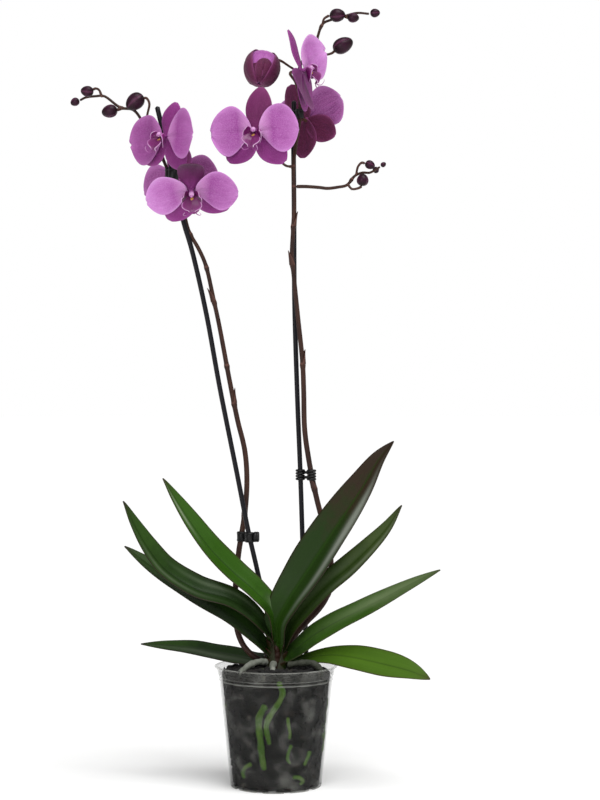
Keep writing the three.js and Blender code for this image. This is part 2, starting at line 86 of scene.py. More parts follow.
# A smooth curve through points, cut into even steps
def smoothPath(points, count):
    points = np.array(points, float)
    gaps = np.sqrt(np.linalg.norm(np.diff(points, axis=0), axis=1))
    knots = np.concatenate([[0], np.cumsum(gaps)])
    slopes = np.gradient(points, knots, axis=0)
    fine = np.linspace(0, knots[-1], max(count * 4, 200))
    cell = np.clip(np.searchsorted(knots, fine, side="right") - 1, 0, len(knots) - 2)
    width = (knots[cell + 1] - knots[cell])[:, None]
    u = (fine - knots[cell])[:, None] / width
    dense = ((2 * u**3 - 3 * u**2 + 1) * points[cell] + (u**3 - 2 * u**2 + u) * width * slopes[cell]
             + (3 * u**2 - 2 * u**3) * points[cell + 1] + (u**3 - u**2) * width * slopes[cell + 1])
    run = runAlong(dense)
    even = np.linspace(0, run[-1], count)
    return np.stack([np.interp(even, run, dense[:, k]) for k in range(3)], axis=1)


# A shell is a closed body: points, faces, a UV, +1 on its front and -1 on its back, and a mark from 0 to 1
def plainShell(verts, faces, shade=0.0):
    count = len(verts)
    return {"verts": verts, "faces": faces, "uv": np.zeros((count, 2)), "side": np.ones(count),
            "mark": np.full(count, float(shade))}


# A closed thin body. surface(s, t) is its middle, s from -1 to 1 across and t from 0 to 1 along.
def sheetShell(surface, columns, rows, thickness, facing, mark=None):
    s, t = np.meshgrid(np.linspace(-1, 1, columns + 1), np.linspace(0, 1, rows + 1), indexing="ij")
    middle = surface(s, t)
    normal = unit(np.cross(np.gradient(middle, axis=0), np.gradient(middle, axis=1)))
    turned = float((normal @ np.array(facing, float)).mean()) < 0
    if turned:
        normal = -normal
    half = np.broadcast_to(thickness(s, t), s.shape)[..., None] / 2
    total = s.size
    index = np.arange(total).reshape(s.shape)
    quads = np.stack([index[:-1, :-1], index[1:, :-1], index[1:, 1:], index[:-1, 1:]], -1).reshape(-1, 4)
    rim = np.concatenate([index[:, 0], index[-1, 1:], index[::-1, -1][1:], index[0, ::-1][1:]])
    a, b = rim[:-1], rim[1:]
    walls = np.stack([b, a, a + total, b + total], -1)
    faces = np.concatenate([quads, quads[:, ::-1] + total, walls])
    if turned:
        faces = faces[:, ::-1]
    uv = np.stack([0.5 + 0.5 * s, t], -1).reshape(-1, 2)
    marks = np.zeros(total) if mark is None else np.broadcast_to(mark(s, t), s.shape).reshape(-1)
    front, back = middle + normal * half, middle - normal * half
    return {
        "verts": np.concatenate([front.reshape(-1, 3), back.reshape(-1, 3)]),
        "faces": [tuple(face) for face in faces.tolist()],
        "uv": np.concatenate([uv, uv]),
        "side": np.concatenate([np.ones(total), -np.ones(total)]),
        "mark": np.concatenate([marks, marks]),
    }


# Quads between rings of points. wrap joins the last ring to the first.
def ringFaces(rings, sides, wrap=False):
    faces = []
    for i in range(rings if wrap else rings - 1):
        m = (i + 1) % rings
        for j in range(sides):
            k = (j + 1) % sides
            faces.append((i * sides + j, i * sides + k, m * sides + k, m * sides + j))
    return faces


# The same, with both ends closed by a fan round an extra point
def cappedFaces(rings, sides):
    faces = ringFaces(rings, sides)
    first, final = rings * sides, rings * sides + 1
    for j in range(sides):
        k = (j + 1) % sides
        faces.append((first, k, j))
        faces.append((final, (rings - 1) * sides + j, (rings - 1) * sides + k))
    return faces


# A tube along points. radius(t, angle, run) gives millimetres, run is the length so far.
def tubeShell(points, radius, sides, count, mark=None, roundEnd=0.6):
    path = smoothPath(points, count)
    tangent = unit(np.gradient(path, axis=0))
    normal = np.zeros_like(path)
    start = np.cross(tangent[0], (0, 1, 0))
    if np.linalg.norm(start) < 0.1:
        start = np.cross(tangent[0], (1, 0, 0))
    normal[0] = unit(start)
    for i in range(1, count):
        normal[i] = unit(normal[i - 1] - tangent[i] * np.dot(normal[i - 1], tangent[i]))
    binormal = np.cross(tangent, normal)
    angle = np.linspace(0, 2 * math.pi, sides, endpoint=False)[None, :]
    t = np.linspace(0, 1, count)[:, None]
    run = t * runAlong(path)[-1]
    size = np.broadcast_to(radius(t, angle, run), (count, sides))
    outward = np.cos(angle)[..., None] * normal[:, None] + np.sin(angle)[..., None] * binormal[:, None]
    verts = (path[:, None] + size[..., None] * outward).reshape(-1, 3)
    ends = np.stack([path[0] - tangent[0] * size[0].mean() * roundEnd,
                     path[-1] + tangent[-1] * size[-1].mean() * roundEnd])
    uv = np.stack([np.broadcast_to(0.5 + 0.5 * np.cos(angle), size.shape),
                   np.broadcast_to(t, size.shape)], -1).reshape(-1, 2)
    shell = plainShell(np.concatenate([verts, ends]), cappedFaces(count, sides))
    shell["uv"] = np.concatenate([uv, [[0.5, 0], [0.5, 1]]])
    if mark:
        marks = np.broadcast_to(mark(t, angle, run), size.shape).reshape(-1)
        shell["mark"] = np.concatenate([marks, [marks[0], marks[-1]]])
    return shell


# A turned body about Z from (radius, height) pairs that start and end on the axis
def latheShell(profile, segments, shift=None):
    inner = np.array(profile[1:-1], float)
    angle = np.linspace(0, 2 * math.pi, segments, endpoint=False)
    r = np.repeat(inner[:, :1], segments, axis=1)
    z = np.repeat(inner[:, 1:], segments, axis=1)
    if shift is not None:
        r = r + shift(r, z, angle[None, :])
    verts = np.stack([r * np.cos(angle), r * np.sin(angle), z], -1).reshape(-1, 3)
    ends = np.array([[0, 0, profile[0][1]], [0, 0, profile[-1][1]]], float)
    return plainShell(np.concatenate([verts, ends]), cappedFaces(len(inner), segments))


# The same as latheShell, for a ring whose profile closes on itself
def ringShell(profile, segments, centre):
    profile = np.array(profile, float)
    angle = np.linspace(0, 2 * math.pi, segments, endpoint=False)
    r, z = profile[:, :1], profile[:, 1:]
    verts = np.stack([r * np.cos(angle), r * np.sin(angle), z + 0 * angle], -1).reshape(-1, 3)
    return placed(plainShell(verts, ringFaces(len(profile), segments, True)), np.eye(3), centre)


# basis columns are the local X, Y and Z in the row's frame
def placed(shell, basis, origin):
    moved = dict(shell)
    moved["verts"] = shell["verts"] @ np.array(basis, float).T + np.array(origin, float)
    return moved


def basisFrom(direction, spin=0.0):
    axis = unit(np.array(direction, float))
    side = np.cross((0, 1, 0), axis)
    if np.linalg.norm(side) < 0.2:
        side = np.cross((0, 0, 1), axis)
    side = unit(side)
    other = np.cross(axis, side)
    turnedSide = side * math.cos(spin) + other * math.sin(spin)
    return np.stack([turnedSide, np.cross(axis, turnedSide), axis], axis=1)


# Joins shells into one object that rides on the plant's only body
def makePiece(name, shells, finishes, nodes=(), shift=(0, 0, 0), smooth=True):
    data = {key: np.concatenate([shell[key] for shell in shells]) for key in ("verts", "uv", "side", "mark")}
    faces, finish = [], []
    offset = 0
    for shell in shells:
        faces.extend(tuple(i + offset for i in face) for face in shell["faces"])
        finish.extend(np.broadcast_to(shell.get("finish", 0), len(shell["faces"])).tolist())
        offset += len(shell["verts"])
    mesh = bpy.data.meshes.new(name)
    mesh.from_pydata(((data["verts"] + np.array(shift)) * mm).tolist(), [], faces)
    loops = np.zeros(len(mesh.loops), int)
    mesh.loops.foreach_get("vertex_index", loops)
    layer = mesh.uv_layers.new(name="UVMap")
    layer.data.foreach_set("uv", data["uv"][loops].astype(np.float32).reshape(-1))
    for label in ("side", "mark"):
        attribute = mesh.attributes.new(label, "FLOAT", "POINT")
        attribute.data.foreach_set("value", data[label].astype(np.float32))
    for material in finishes:
        mesh.materials.append(material)
    mesh.polygons.foreach_set("material_index", finish)
    mesh.polygons.foreach_set("use_smooth", [smooth] * len(mesh.polygons))
    mesh.update()
    piece = bpy.data.objects.new(name, mesh)
    bpy.context.scene.collection.objects.link(piece)
    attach(piece, "root")
    if nodes:
        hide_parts(*nodes)
    return piece


# Adds a node and gives back one of its outputs. Settings are properties or inputs, links join outputs to
# inputs.
def addNode(tree, kind, settings=None, links=None, out=0):
    node = tree.nodes.new("ShaderNode" + kind)
    for key, value in (settings or {}).items():
        if key == "stops":
            ramp = node.color_ramp
            for place, tone in value[1:-1]:
                ramp.elements.new(place).color = linear(tone)
            ramp.elements[0].position, ramp.elements[0].color = value[0][0], linear(value[0][1])
            ramp.elements[-1].position, ramp.elements[-1].color = value[-1][0], linear(value[-1][1])
        elif isinstance(key, str) and hasattr(node, key):
            setattr(node, key, value)
        else:
            node.inputs[key].default_value = linear(value) if isinstance(value, str) else value
    for key, source in (links or {}).items():
        tree.links.new(source, node.inputs[key])
    return node.outputs[out]


def startMaterial(name, settings):
    material = bpy.data.materials.new(name)
    material.use_nodes = True
    tree = material.node_tree
    shader = tree.nodes["Principled BSDF"]
    for key, value in settings.items():
        shader.inputs[key].default_value = value
    return material, tree, shader


# Object coordinates are metres, so a noise scale is one over the feature's size in metres
def mottle(tree, sizeMm, detail=2.0, stretch=(1, 1, 1)):
    place = addNode(tree, "TexCoord", out="Object")
    mapped = addNode(tree, "Mapping", {"Scale": stretch}, {"Vector": place})
    return addNode(tree, "TexNoise", {"Scale": 1 / (sizeMm * mm), "Detail": detail}, {"Vector": mapped})


# Lays a tone over the colour so far, where the mask times share plus lift is above nothing
def stained(tree, colour, tone, mask, share=1.0, lift=0.0):
    amount = addNode(tree, "Math", {"operation": "MULTIPLY_ADD", 1: share, 2: lift, "use_clamp": True},
                     {0: mask})
    return addNode(tree, "Mix", {"data_type": "RGBA", 7: tone}, {0: amount, 6: colour}, 2)


def bumpAndColour(tree, shader, colour, height, depthMm, strength):
    normal = addNode(tree, "Bump", {"Strength": strength, "Distance": depthMm * mm}, {"Height": height})
    tree.links.new(colour, shader.inputs["Base Color"])
    tree.links.new(normal, shader.inputs["Normal"])


# What petals and leaves share: noise drawn out along the blade, tones along it that drift in soft patches,
# how near the rim is, and which side faces away
def bladePattern(tree, pattern, stops):
    across = addNode(tree, "SeparateXYZ", links={0: addNode(tree, "UVMap")})
    along = across.node.outputs[1]
    wide = addNode(tree, "Math", {"operation": "MULTIPLY", 1: pattern["across"]}, {0: across})
    long = addNode(tree, "Math", {"operation": "MULTIPLY", 1: pattern["along"]}, {0: along})
    fan = addNode(tree, "CombineXYZ", links={0: wide, 1: long})
    veins = addNode(tree, "TexNoise", {"Scale": 1.0, "Detail": 3.0, "Distortion": pattern["wander"]},
                    {"Vector": fan})
    patches = mottle(tree, *pattern["patches"])
    drift = pattern["drift"]
    nudge = addNode(tree, "Math", {"operation": "MULTIPLY_ADD", 1: drift, 2: -drift / 2}, {0: patches})
    shifted = addNode(tree, "Math", {"operation": "ADD", "use_clamp": True}, {0: along, 1: nudge})
    body = addNode(tree, "ValToRGB", {"stops": stops}, {0: shifted})
    centred = addNode(tree, "Math", {"operation": "MULTIPLY_ADD", 1: 2.0, 2: -1.0}, {0: across})
    fromMiddle = addNode(tree, "Math", {"operation": "ABSOLUTE"}, {0: centred})
    sideRim = addNode(tree, "Math", {"operation": "POWER", 1: pattern["sideRim"]}, {0: fromMiddle})
    endRim = addNode(tree, "Math", {"operation": "POWER", 1: pattern["endRim"]}, {0: along})
    rim = addNode(tree, "Math", {"operation": "MAXIMUM"}, {0: sideRim, 1: endRim})
    side = addNode(tree, "Attribute", {"attribute_name": "side"}, out="Fac")
    behind = addNode(tree, "Math", {"operation": "LESS_THAN", 1: 0.0}, {0: side})
    return {"along": along, "veins": veins, "patches": patches, "body": body, "fromMiddle": fromMiddle,
            "rim": rim, "behind": behind}


# A mask is the mark painted on the mesh, the way along it, or a mottle given as its size, detail and stretch
def maskFrom(tree, source):
    if source == "mark":
        return addNode(tree, "Attribute", {"attribute_name": "mark"}, out="Fac")
    if source == "along":
        return addNode(tree, "SeparateXYZ", links={0: addNode(tree, "UVMap")}, out=1)
    return mottle(tree, *source)


# A surface whose tones follow a mask, with stains of mask, tone, share and lift over them, and a grain that
# stands out by relief: millimetres deep, then how strongly it shows
def grainySurface(name, settings, source, stops, grainSize, stains, relief):
    material, tree, shader = startMaterial(name, settings)
    colour = addNode(tree, "ValToRGB", {"stops": stops}, {0: maskFrom(tree, source)})
    grain = mottle(tree, *grainSize)
    for mask, tone, share, lift in stains:
        colour = stained(tree, colour, tone, grain if mask == "grain" else maskFrom(tree, mask), share, lift)
    bumpAndColour(tree, shader, colour, grain, *relief)
    return material


print("helpers ready")

# Orchid petal: thin living tissue full of air, so it is soft and velvety, lets some light through and shows
# fine darker veins that fan out from the base, with a paler throat. Its pale rim is partly a paler margin and
# partly painted edge highlight, and fine pale specks are painted sparkle off its cells.
petalParts = ("throat", "base", "outer", "vein", "rim", "back")
# After petal come four copies of it, lighter or darker for how each petal sits in the light: the first is
# painted light, the other three are painted shade. After sepal comes a darker copy of it: painted shade on
# the open flowers, and the own dark outside of the half-open bud's outer parts.
petalTones = {
    "petal": ("#e0a6da", "#93418f", "#b46cb2", "#762b73", "#cd8fcf", "#7c3d72"),
    "paintedLitPetal": ("#e0a4db", "#a350a0", "#cb86cc", "#80347f", "#d59fd8", "#7f3e7c"),
    "paintedShadePetal": ("#c77ac0", "#7a3274", "#93498d", "#5f1d57", "#ae70ab", "#73316a"),
    "paintedDimPetal": ("#d694d0", "#8f3b89", "#ad5fa9", "#6b2566", "#bd80bd", "#8c4684"),
    "shadedPetal": ("#6e2264", "#58124c", "#661a59", "#390a30", "#80327a", "#4c1038"),
    "sepal": ("#8f3283", "#711a66", "#822778", "#500c46", "#9a4c92", "#62174a"),
    "darkAndShadedSepal": ("#7a1f66", "#5c0f49", "#6b1c58", "#3d0730", "#83396d", "#521034"),
    # the last row paints the shadow inside a hooded dorsal sepal: its outer, vein and rim tones are dark, so
    # the sepal darkens towards its tip
    "paintedHoodShadowSepal": ("#8f3785", "#5c1350", "#2e0622", "#220419", "#5c2050", "#5f1b50"),
}
# veins lie about 1 mm apart on a 46 mm petal and run its whole length, drawn 1.5 mm apart
petalPattern = {"across": 30.0, "along": 2.2, "wander": 0.4, "patches": (13, 3.0), "drift": 0.7,
                "sideRim": 7.0, "endRim": 14.0}


def petalTissue(name, tones):
    material, tree, shader = startMaterial(name, {
        "Roughness": 0.52, "IOR": 1.4, "Specular IOR Level": 0.32, "Subsurface Weight": 0.12,
        "Subsurface Scale": 0.002, "Subsurface Radius": (1.0, 0.45, 0.8), "Sheen Weight": 0.06,
        "Sheen Roughness": 0.5,
    })
    blade = bladePattern(tree, petalPattern, [
        (0.0, tones["base"]), (0.35, tones["base"]), (1.0, tones["outer"]),
    ])
    lines = addNode(tree, "Math", {"operation": "MULTIPLY_ADD", 1: 3.0, 2: -1.35, "use_clamp": True},
                    {0: blade["veins"]})
    throatShare = addNode(tree, "MapRange", {1: 0.0, 2: 0.34, 3: 0.9, 4: 0.0}, {0: blade["along"]})
    opened = stained(tree, blade["body"], tones["throat"], throatShare)
    front = stained(tree, opened, tones["vein"], lines, 0.3)
    back = addNode(tree, "Mix", {"data_type": "RGBA", 6: tones["back"], 7: tones["vein"]}, {0: lines}, 2)
    twoSided = addNode(tree, "Mix", {"data_type": "RGBA"}, {0: blade["behind"], 6: front, 7: back}, 2)
    # the rim tone is partly a paler margin and partly painted edge highlight; in the hooded sepal's row it is
    # dark, part of its painted shadow
    rimmed = stained(tree, twoSided, tones["rim"], blade["rim"], 0.7)
    # cells sparkle at about 0.1 mm: painted sparkle in the rim tone, drawn as 0.8 mm patches so that it
    # shows. The same mottle gives the cells' relief.
    cellsAndSparkle = mottle(tree, 0.8, 4.0)
    colour = stained(tree, rimmed, tones["rim"], cellsAndSparkle, 1.5, -0.66)
    height = addNode(tree, "Math", {"operation": "MULTIPLY_ADD", 1: -0.8}, {0: lines, 2: cellsAndSparkle})
    bumpAndColour(tree, shader, colour, height, 0.4, 0.4)
    return material


petalFinish = {name: petalTissue(name, dict(zip(petalParts, row))) for name, row in petalTones.items()}

# Orchid leaf: thick waxy leather. The wax gives a broad soft gloss, long parallel veins show as faint
# streaks, and strong light turns the margins and tips purple-brown. Pale patches laid on top are painted
# highlights: sheen and reflections off the wax.
leafParts = ("base", "blade", "tip", "margin", "under", "paintedHighlight")
leafTones = {
    "green": ("#14270a", "#2b4f0c", "#33551a", "#33201e", "#32221f", "#8f9a80"),
    "grey": ("#101c09", "#1c310f", "#2c4817", "#2b1a1a", "#2f3a24", "#55634a"),
    "dark": ("#152609", "#24380f", "#3a4a20", "#2a1a16", "#333f28", "#667058"),
    "bronze": ("#1f3a0a", "#1a2f09", "#31201a", "#241210", "#4a4f42", "#7b8076"),
    "sunny": ("#1c2f0a", "#3d5c14", "#426219", "#3a2a1c", "#3a4a20", "#55791f"),
    "ribbed": ("#15280a", "#2c4b10", "#4a5c36", "#3a3a28", "#4a5838", "#6b7a58"),
    "sheath": ("#141f0a", "#1c2b0c", "#2b2112", "#2c1712", "#20180f", "#39422c"),
}
# veins are about 0.8 mm apart on a 34 mm blade, drawn 1.5 mm apart
leafPattern = {"across": 23.0, "along": 1.6, "wander": 0.0, "patches": (14, 4.0), "drift": 0.5,
               "sideRim": 16.0, "endRim": 22.0}


def waxyLeaf(name, tones):
    material, tree, shader = startMaterial(name, {
        "Roughness": 0.38, "IOR": 1.4, "Specular IOR Level": 0.14, "Coat Weight": 0.03, "Coat Roughness": 0.2,
        "Coat IOR": 1.4,
    })
    blade = bladePattern(tree, leafPattern, [
        (0.0, tones["base"]), (0.25, tones["blade"]), (0.5, tones["blade"]), (0.78, tones["tip"]),
    ])
    streaked = stained(tree, blade["body"], tones["base"], blade["veins"], 0.5, -0.17)
    nearMiddle = addNode(tree, "Math", {"operation": "SUBTRACT", 0: 1.0, "use_clamp": True},
                         {1: blade["fromMiddle"]})
    midrib = addNode(tree, "Math", {"operation": "POWER", 1: 24.0}, {0: nearMiddle})
    ribbed = stained(tree, streaked, tones["base"], midrib)
    upper = stained(tree, ribbed, tones["margin"], blade["rim"])
    under = addNode(tree, "Mix", {"data_type": "RGBA", 6: tones["under"], 7: tones["margin"]},
                    {0: blade["patches"]}, 2)
    twoSided = addNode(tree, "Mix", {"data_type": "RGBA"}, {0: blade["behind"], 6: upper, 7: under}, 2)
    # painted highlight: pale sheen and reflections off the wax, in the patches marked on each blade
    highlightPainted = stained(tree, twoSided, tones["paintedHighlight"], maskFrom(tree, "mark"))
    pores = mottle(tree, 0.9)
    colour = stained(tree, highlightPainted, tones["blade"], pores, 0.18)
    height = addNode(tree, "Math", {"operation": "MULTIPLY_ADD", 1: 0.25}, {0: pores, 2: blade["veins"]})
    bumpAndColour(tree, shader, colour, height, 0.5, 0.3)
    return material


leafFinish = {name: waxyLeaf(name + "Leaf", dict(zip(leafParts, row))) for name, row in leafTones.items()}


# Callus: the fleshy wart at the lip's base, orange-yellow with fine red freckles
def callusTissue():
    material, tree, shader = startMaterial("freckledCallus", {
        "Roughness": 0.35, "IOR": 1.4, "Subsurface Weight": 0.1, "Subsurface Scale": 0.001,
    })
    place = addNode(tree, "TexCoord", out="Object")
    dots = addNode(tree, "TexVoronoi", {"Scale": 1 / (1.1 * mm)}, {"Vector": place}, "Distance")
    freckles = addNode(tree, "Math", {"operation": "LESS_THAN", 1: 0.3}, {0: dots})
    colour = addNode(tree, "Mix", {"data_type": "RGBA", 6: "#b98a45", 7: "#7c2430"}, {0: freckles}, 2)
    bumpAndColour(tree, shader, colour, dots, 0.3, 0.4)
    return material


callusFinish = callusTissue()

# Orchid lip: the same tissue, thicker and waxier, deep purple with pale turned-up rims
lipFinish = grainySurface(
    "waxyLipTissue",
    {"Roughness": 0.36, "IOR": 1.4, "Subsurface Weight": 0.08, "Subsurface Scale": 0.0015,
     "Subsurface Radius": (1.0, 0.4, 0.7), "Coat Weight": 0.15, "Coat Roughness": 0.3},
    "mark", [(0.0, "#4a0b38"), (0.35, "#6f1c60"), (0.66, "#9a4491"), (0.9, "#d6a9d2"), (1.0, "#e8cfe5")],
    (1.1, 3.0), [("grain", "#5c1450", 0.22, 0)], (0.3, 0.3))

# Column: the flower's fused middle, smooth and waxy, pinkish white at its tip and purple at its foot
columnFinish = grainySurface(
    "pinkWhiteColumn",
    {"Roughness": 0.32, "IOR": 1.4, "Subsurface Weight": 0.15, "Subsurface Scale": 0.0015,
     "Subsurface Radius": (1.0, 0.6, 0.8)},
    "mark", [(0.0, "#7d2a73"), (0.5, "#a95aa2"), (0.8, "#cf9aca"), (1.0, "#d9b0d6")],
    (1.4,), [("grain", "#8c3a80", 0.2, 0)], (0.2, 0.25))

# Flower spike: a woody green stem with a purplish-brown skin, slightly waxy, finely mottled along its length
spikeFinish = grainySurface(
    "purpleBrownStemSkin",
    {"Roughness": 0.5, "IOR": 1.45, "Specular IOR Level": 0.22, "Coat Weight": 0.03, "Coat Roughness": 0.35},
    (9, 4.0, (1, 1, 0.35)), [(0.3, "#21130e"), (0.5, "#331f17"), (0.72, "#41291d")],
    (1.2, 3.0, (1, 1, 0.3)), [("grain", "#3a221f", 0.35, 0), ("mark", "#6a4840", 1, 0)], (0.4, 0.4))

# Bud: closed waxy sepals, dark wine purple with greenish-black ends and paler seams where they meet
budFinish = grainySurface(
    "winePurpleBudSkin",
    {"Roughness": 0.42, "IOR": 1.42, "Specular IOR Level": 0.2, "Coat Weight": 0.06, "Coat Roughness": 0.25,
     "Subsurface Weight": 0.04, "Subsurface Scale": 0.001},
    "along", [(0.0, "#17110a"), (0.16, "#1f0714"), (0.5, "#310c24"), (0.84, "#200714"), (1.0, "#120d08")],
    (1.6, 3.0), [("mark", "#633150", 0.7, 0), ("grain", "#1f0816", 0.3, 0)], (0.3, 0.3))


# Aerial root: spongy velamen full of air, silvery white-grey and matt when dry, greener where it is damp
def rootSkin(name, dry, damp, wetness):
    return grainySurface(name, {"Roughness": 0.75, "IOR": 1.4}, (7, 4.0),
                         [((1.2 - wetness) / 2.4, dry), ((2.2 - wetness) / 2.4, damp)],
                         (1.0, 4.0), [("grain", "#3c3e33", 0.4, 0)], (0.6, 0.5))


silverRoot = rootSkin("silveryVelamen", "#898b83", "#4c5246", 0.4)
shadedRoot = rootSkin("shadedVelamen", "#3a3c33", "#252a1f", 0.5)
greenRoot = rootSkin("dampGreenVelamen", "#72903f", "#467410", 0.8)

# Fir bark: broken chips, dry and rough, from near black to red-brown, each chip its own shade
barkFinish = grainySurface(
    "firBarkChips", {"Roughness": 0.88, "IOR": 1.5},
    "mark", [(0.0, "#060505"), (0.5, "#0e0c0a"), (0.8, "#1b1714"), (0.94, "#302b25"), (1.0, "#524d45")],
    (2.2, 5.0, (1, 1, 3)), [("grain", "#0f0b08", 0.5, 0)], (1.2, 0.7))


# Polypropylene pot: thin, clear but hazy from moulding and from damp inside, so it greys what is behind it
# and keeps a soft gloss. The damp shows as a fine mottle with small drops.
def hazyPolypropylene(name, alpha, haze):
    return grainySurface(name, {"Roughness": 0.28, "IOR": 1.49, "Specular IOR Level": 0.25, "Alpha": alpha},
                         (17, 8.0), list(zip((0.32, 0.5, 0.72), haze)),
                         (1.6,), [("grain", "#e4e5e1", 5.0, -3.3)], (0.25, 0.25))


potFinish = hazyPolypropylene("hazyPolypropylene", 0.2, ("#080907", "#242523", "#858680"))
flangeFinish = hazyPolypropylene("clearPolypropylene", 0.2, ("#343530", "#545550", "#8f908a"))
# a paler, less clear copy of the haze for the rim, ridges and foot: painted highlight where they catch the
# light
rimHighlightFinish = hazyPolypropylene("paintedHighlightPolypropylene", 0.42, ("#73746e", "#90918b", "#b1b2ac"))

# Plastic-coated steel stake: extruded skin, black with a blue cast, satin with faint drag lines
stakeFinish = grainySurface("plasticCoatedStake", {"Roughness": 0.4, "IOR": 1.46, "Specular IOR Level": 0.22},
                            (20, 3.0), [(0.0, "#0a0910"), (1.0, "#131217")],
                            (1.0, 3.0, (1, 1, 0.03)), [], (0.2, 0.25))

# ABS clip: injection moulded, deep black, satin with a fine spark-eroded grain
clipFinish = grainySurface("blackMouldedAbs", {"Roughness": 0.4, "IOR": 1.53, "Specular IOR Level": 0.25},
                           (0.5,), [(0.0, "#050506"), (1.0, "#0e0e0f")], (0.5,), [], (0.15, 0.4))
print("materials ready")

# Pot: thin flared wall, rolled rim flange, two fine ridges under it and drain slots round the foot
pot = {"height": 117, "rimRadius": 60, "baseRadius": 44.5, "shoulderRadius": 55.4, "wall": 1.2, "floor": 1.6,
       "rimDrop": 9, "slots": 10, "slotWidth": 7, "slotHeight": 6, "slotReach": 12, "ridges": (107.1, 103.4),
       "ridgeHeight": 0.45, "ridgeWidth": 0.6, "segments": 160}


def potInnerRadius(z):
    low, high = pot["baseRadius"] - pot["wall"] + 0.2, pot["shoulderRadius"] - pot["wall"]
    return low + (high - low) * (z - pot["floor"]) / (pot["height"] - pot["rimDrop"] - pot["floor"])


def potProfile():
    top = pot["height"]
    wallTop = top - pot["rimDrop"]
    base, shoulder, rim = pot["baseRadius"], pot["shoulderRadius"], pot["rimRadius"]
    outer = [(0, 0), (base - 6, 0), (base - 5, 0.5), (base - 2, 0.5), (base - 1.2, 0), (base - 0.4, 0.3),
             (base, 1.5)]
    for z in np.linspace(4, wallTop, 140):
        slope = (z - 1.5) / (wallTop - 1.5)
        r = base + (shoulder - base) * slope
        for ridge in pot["ridges"]:
            r += pot["ridgeHeight"] * math.exp(-((z - ridge) / pot["ridgeWidth"]) ** 2)
        outer.append((r, z))
    outer += [(shoulder + 0.9, wallTop + 0.6), (shoulder + 1.4, wallTop + 1.4), (rim - 2.6, top - 1.9),
              (rim - 1.6, top - 1.5), (rim - 0.5, top - 1.3), (rim, top - 0.8), (rim - 0.1, top - 0.3),
              (rim - 0.6, top), (rim - 2.8, top), (rim - 3.4, top - 0.3), (shoulder + 0.4, wallTop + 2.2),
              (shoulder - 0.4, wallTop + 1), (shoulder - pot["wall"], wallTop)]
    inner = [(potInnerRadius(z), z) for z in np.linspace(wallTop - 1, 2.6, 30)]
    return outer + inner + [(potInnerRadius(1.6) - 1, pot["floor"]), (0, pot["floor"])]


def boxShell(size, basis, centre):
    corners = np.array([(x, y, z) for x in (-1, 1) for y in (-1, 1) for z in (-1, 1)], float) * size / 2
    faces = [(0, 1, 3, 2), (4, 6, 7, 5), (0, 4, 5, 1), (2, 3, 7, 6), (0, 2, 6, 4), (1, 5, 7, 3)]
    return placed(plainShell(corners, faces), basis, centre)


def spinZ(angle):
    c, s = math.cos(angle), math.sin(angle)
    return np.array([[c, -s, 0], [s, c, 0], [0, 0, 1.0]])


# The drain slots are cut out of the foot; the cutters themselves are removed again
def cutSlots(piece):
    cutters = []
    for i in range(pot["slots"]):
        turn = spinZ((i + 0.42) * 2 * math.pi / pot["slots"])
        cutters.append(boxShell(np.array([pot["slotWidth"], pot["slotReach"], pot["slotHeight"]]), turn,
                                turn @ np.array([0, -pot["baseRadius"], pot["slotHeight"] / 2 - 0.8])))
    cutter = makePiece("slotCutter", cutters, [potFinish], smooth=False)
    boolean = piece.modifiers.new("slots", "BOOLEAN")
    boolean.object = cutter
    boolean.solver = "EXACT"
    graph = bpy.context.evaluated_depsgraph_get()
    mesh = bpy.data.meshes.new_from_object(piece.evaluated_get(graph))
    piece.modifiers.clear()
    piece.data = mesh
    bpy.data.objects.remove(cutter)


# Each strip of the profile has a finish: 0 is the hazy wall, 1 the rim, ridges and foot in a paler, less
# clear haze that is painted highlight, 2 the flange
potRings = potProfile()
potShell = latheShell(potRings, pot["segments"])
wallTop = pot["height"] - pot["rimDrop"]
strips = []
for (r0, z0), (r1, z1) in zip(potRings[1:-2], potRings[2:-1]):
    r, z = (r0 + r1) / 2, (z0 + z1) / 2
    onRidge = any(abs(z - ridge) < 0.5 for ridge in pot["ridges"]) and r > potInnerRadius(z) + 0.8
    strips.append(1 if z > pot["height"] - 0.7 or z < 2 or onRidge else 2 if z > wallTop else 0)
potShell["finish"] = np.concatenate([np.repeat(strips, pot["segments"]), np.ones(2 * pot["segments"], int)])
potPiece = makePiece("pot", [potShell], [potFinish, rimHighlightFinish, flangeFinish], ["pot"],
                     shiftOnto([potShell], ["pot"]))
cutSlots(potPiece)
print("pot made")

# Roots against the wall: each route is (degrees round from the front, height), then the root's radius
wallRoots = {"seed": 23, "clearance": 3.4, "routes": [
    ([(-12, 84), (-15, 80), (-19, 73), (-20, 62), (-18.5, 50), (-17.5, 38), (-16, 28), (-14.5, 23)], 3.2),
    ([(4, 107), (5.5, 103), (8, 98), (5, 90), (-3, 79), (-9, 70), (-11, 62), (-9, 54), (-7.5, 48)], 2.7),
    ([(14, 73), (15, 66), (17, 58), (16.5, 53)], 1.5),
    ([(19, 46), (16, 40), (15, 33), (18, 29)], 1.5),
    ([(46, 38), (43, 32), (39, 26)], 1.7),
    ([(-33, 27), (-42, 23), (-47, 17), (-45, 13)], 1.8),
    ([(24, 15), (32, 14), (38, 10), (34, 7.5)], 1.8),
    ([(95, 84), (100, 66), (92, 48), (97, 28)], 2.3),
    ([(150, 95), (156, 76), (149, 60), (154, 40), (150, 18)], 2.7),
    ([(-165, 62), (-158, 48), (-163, 30), (-158, 15)], 2.1),
    ([(-105, 90), (-99, 72), (-106, 54), (-101, 33)], 2.4),
]}
wallPaths = []
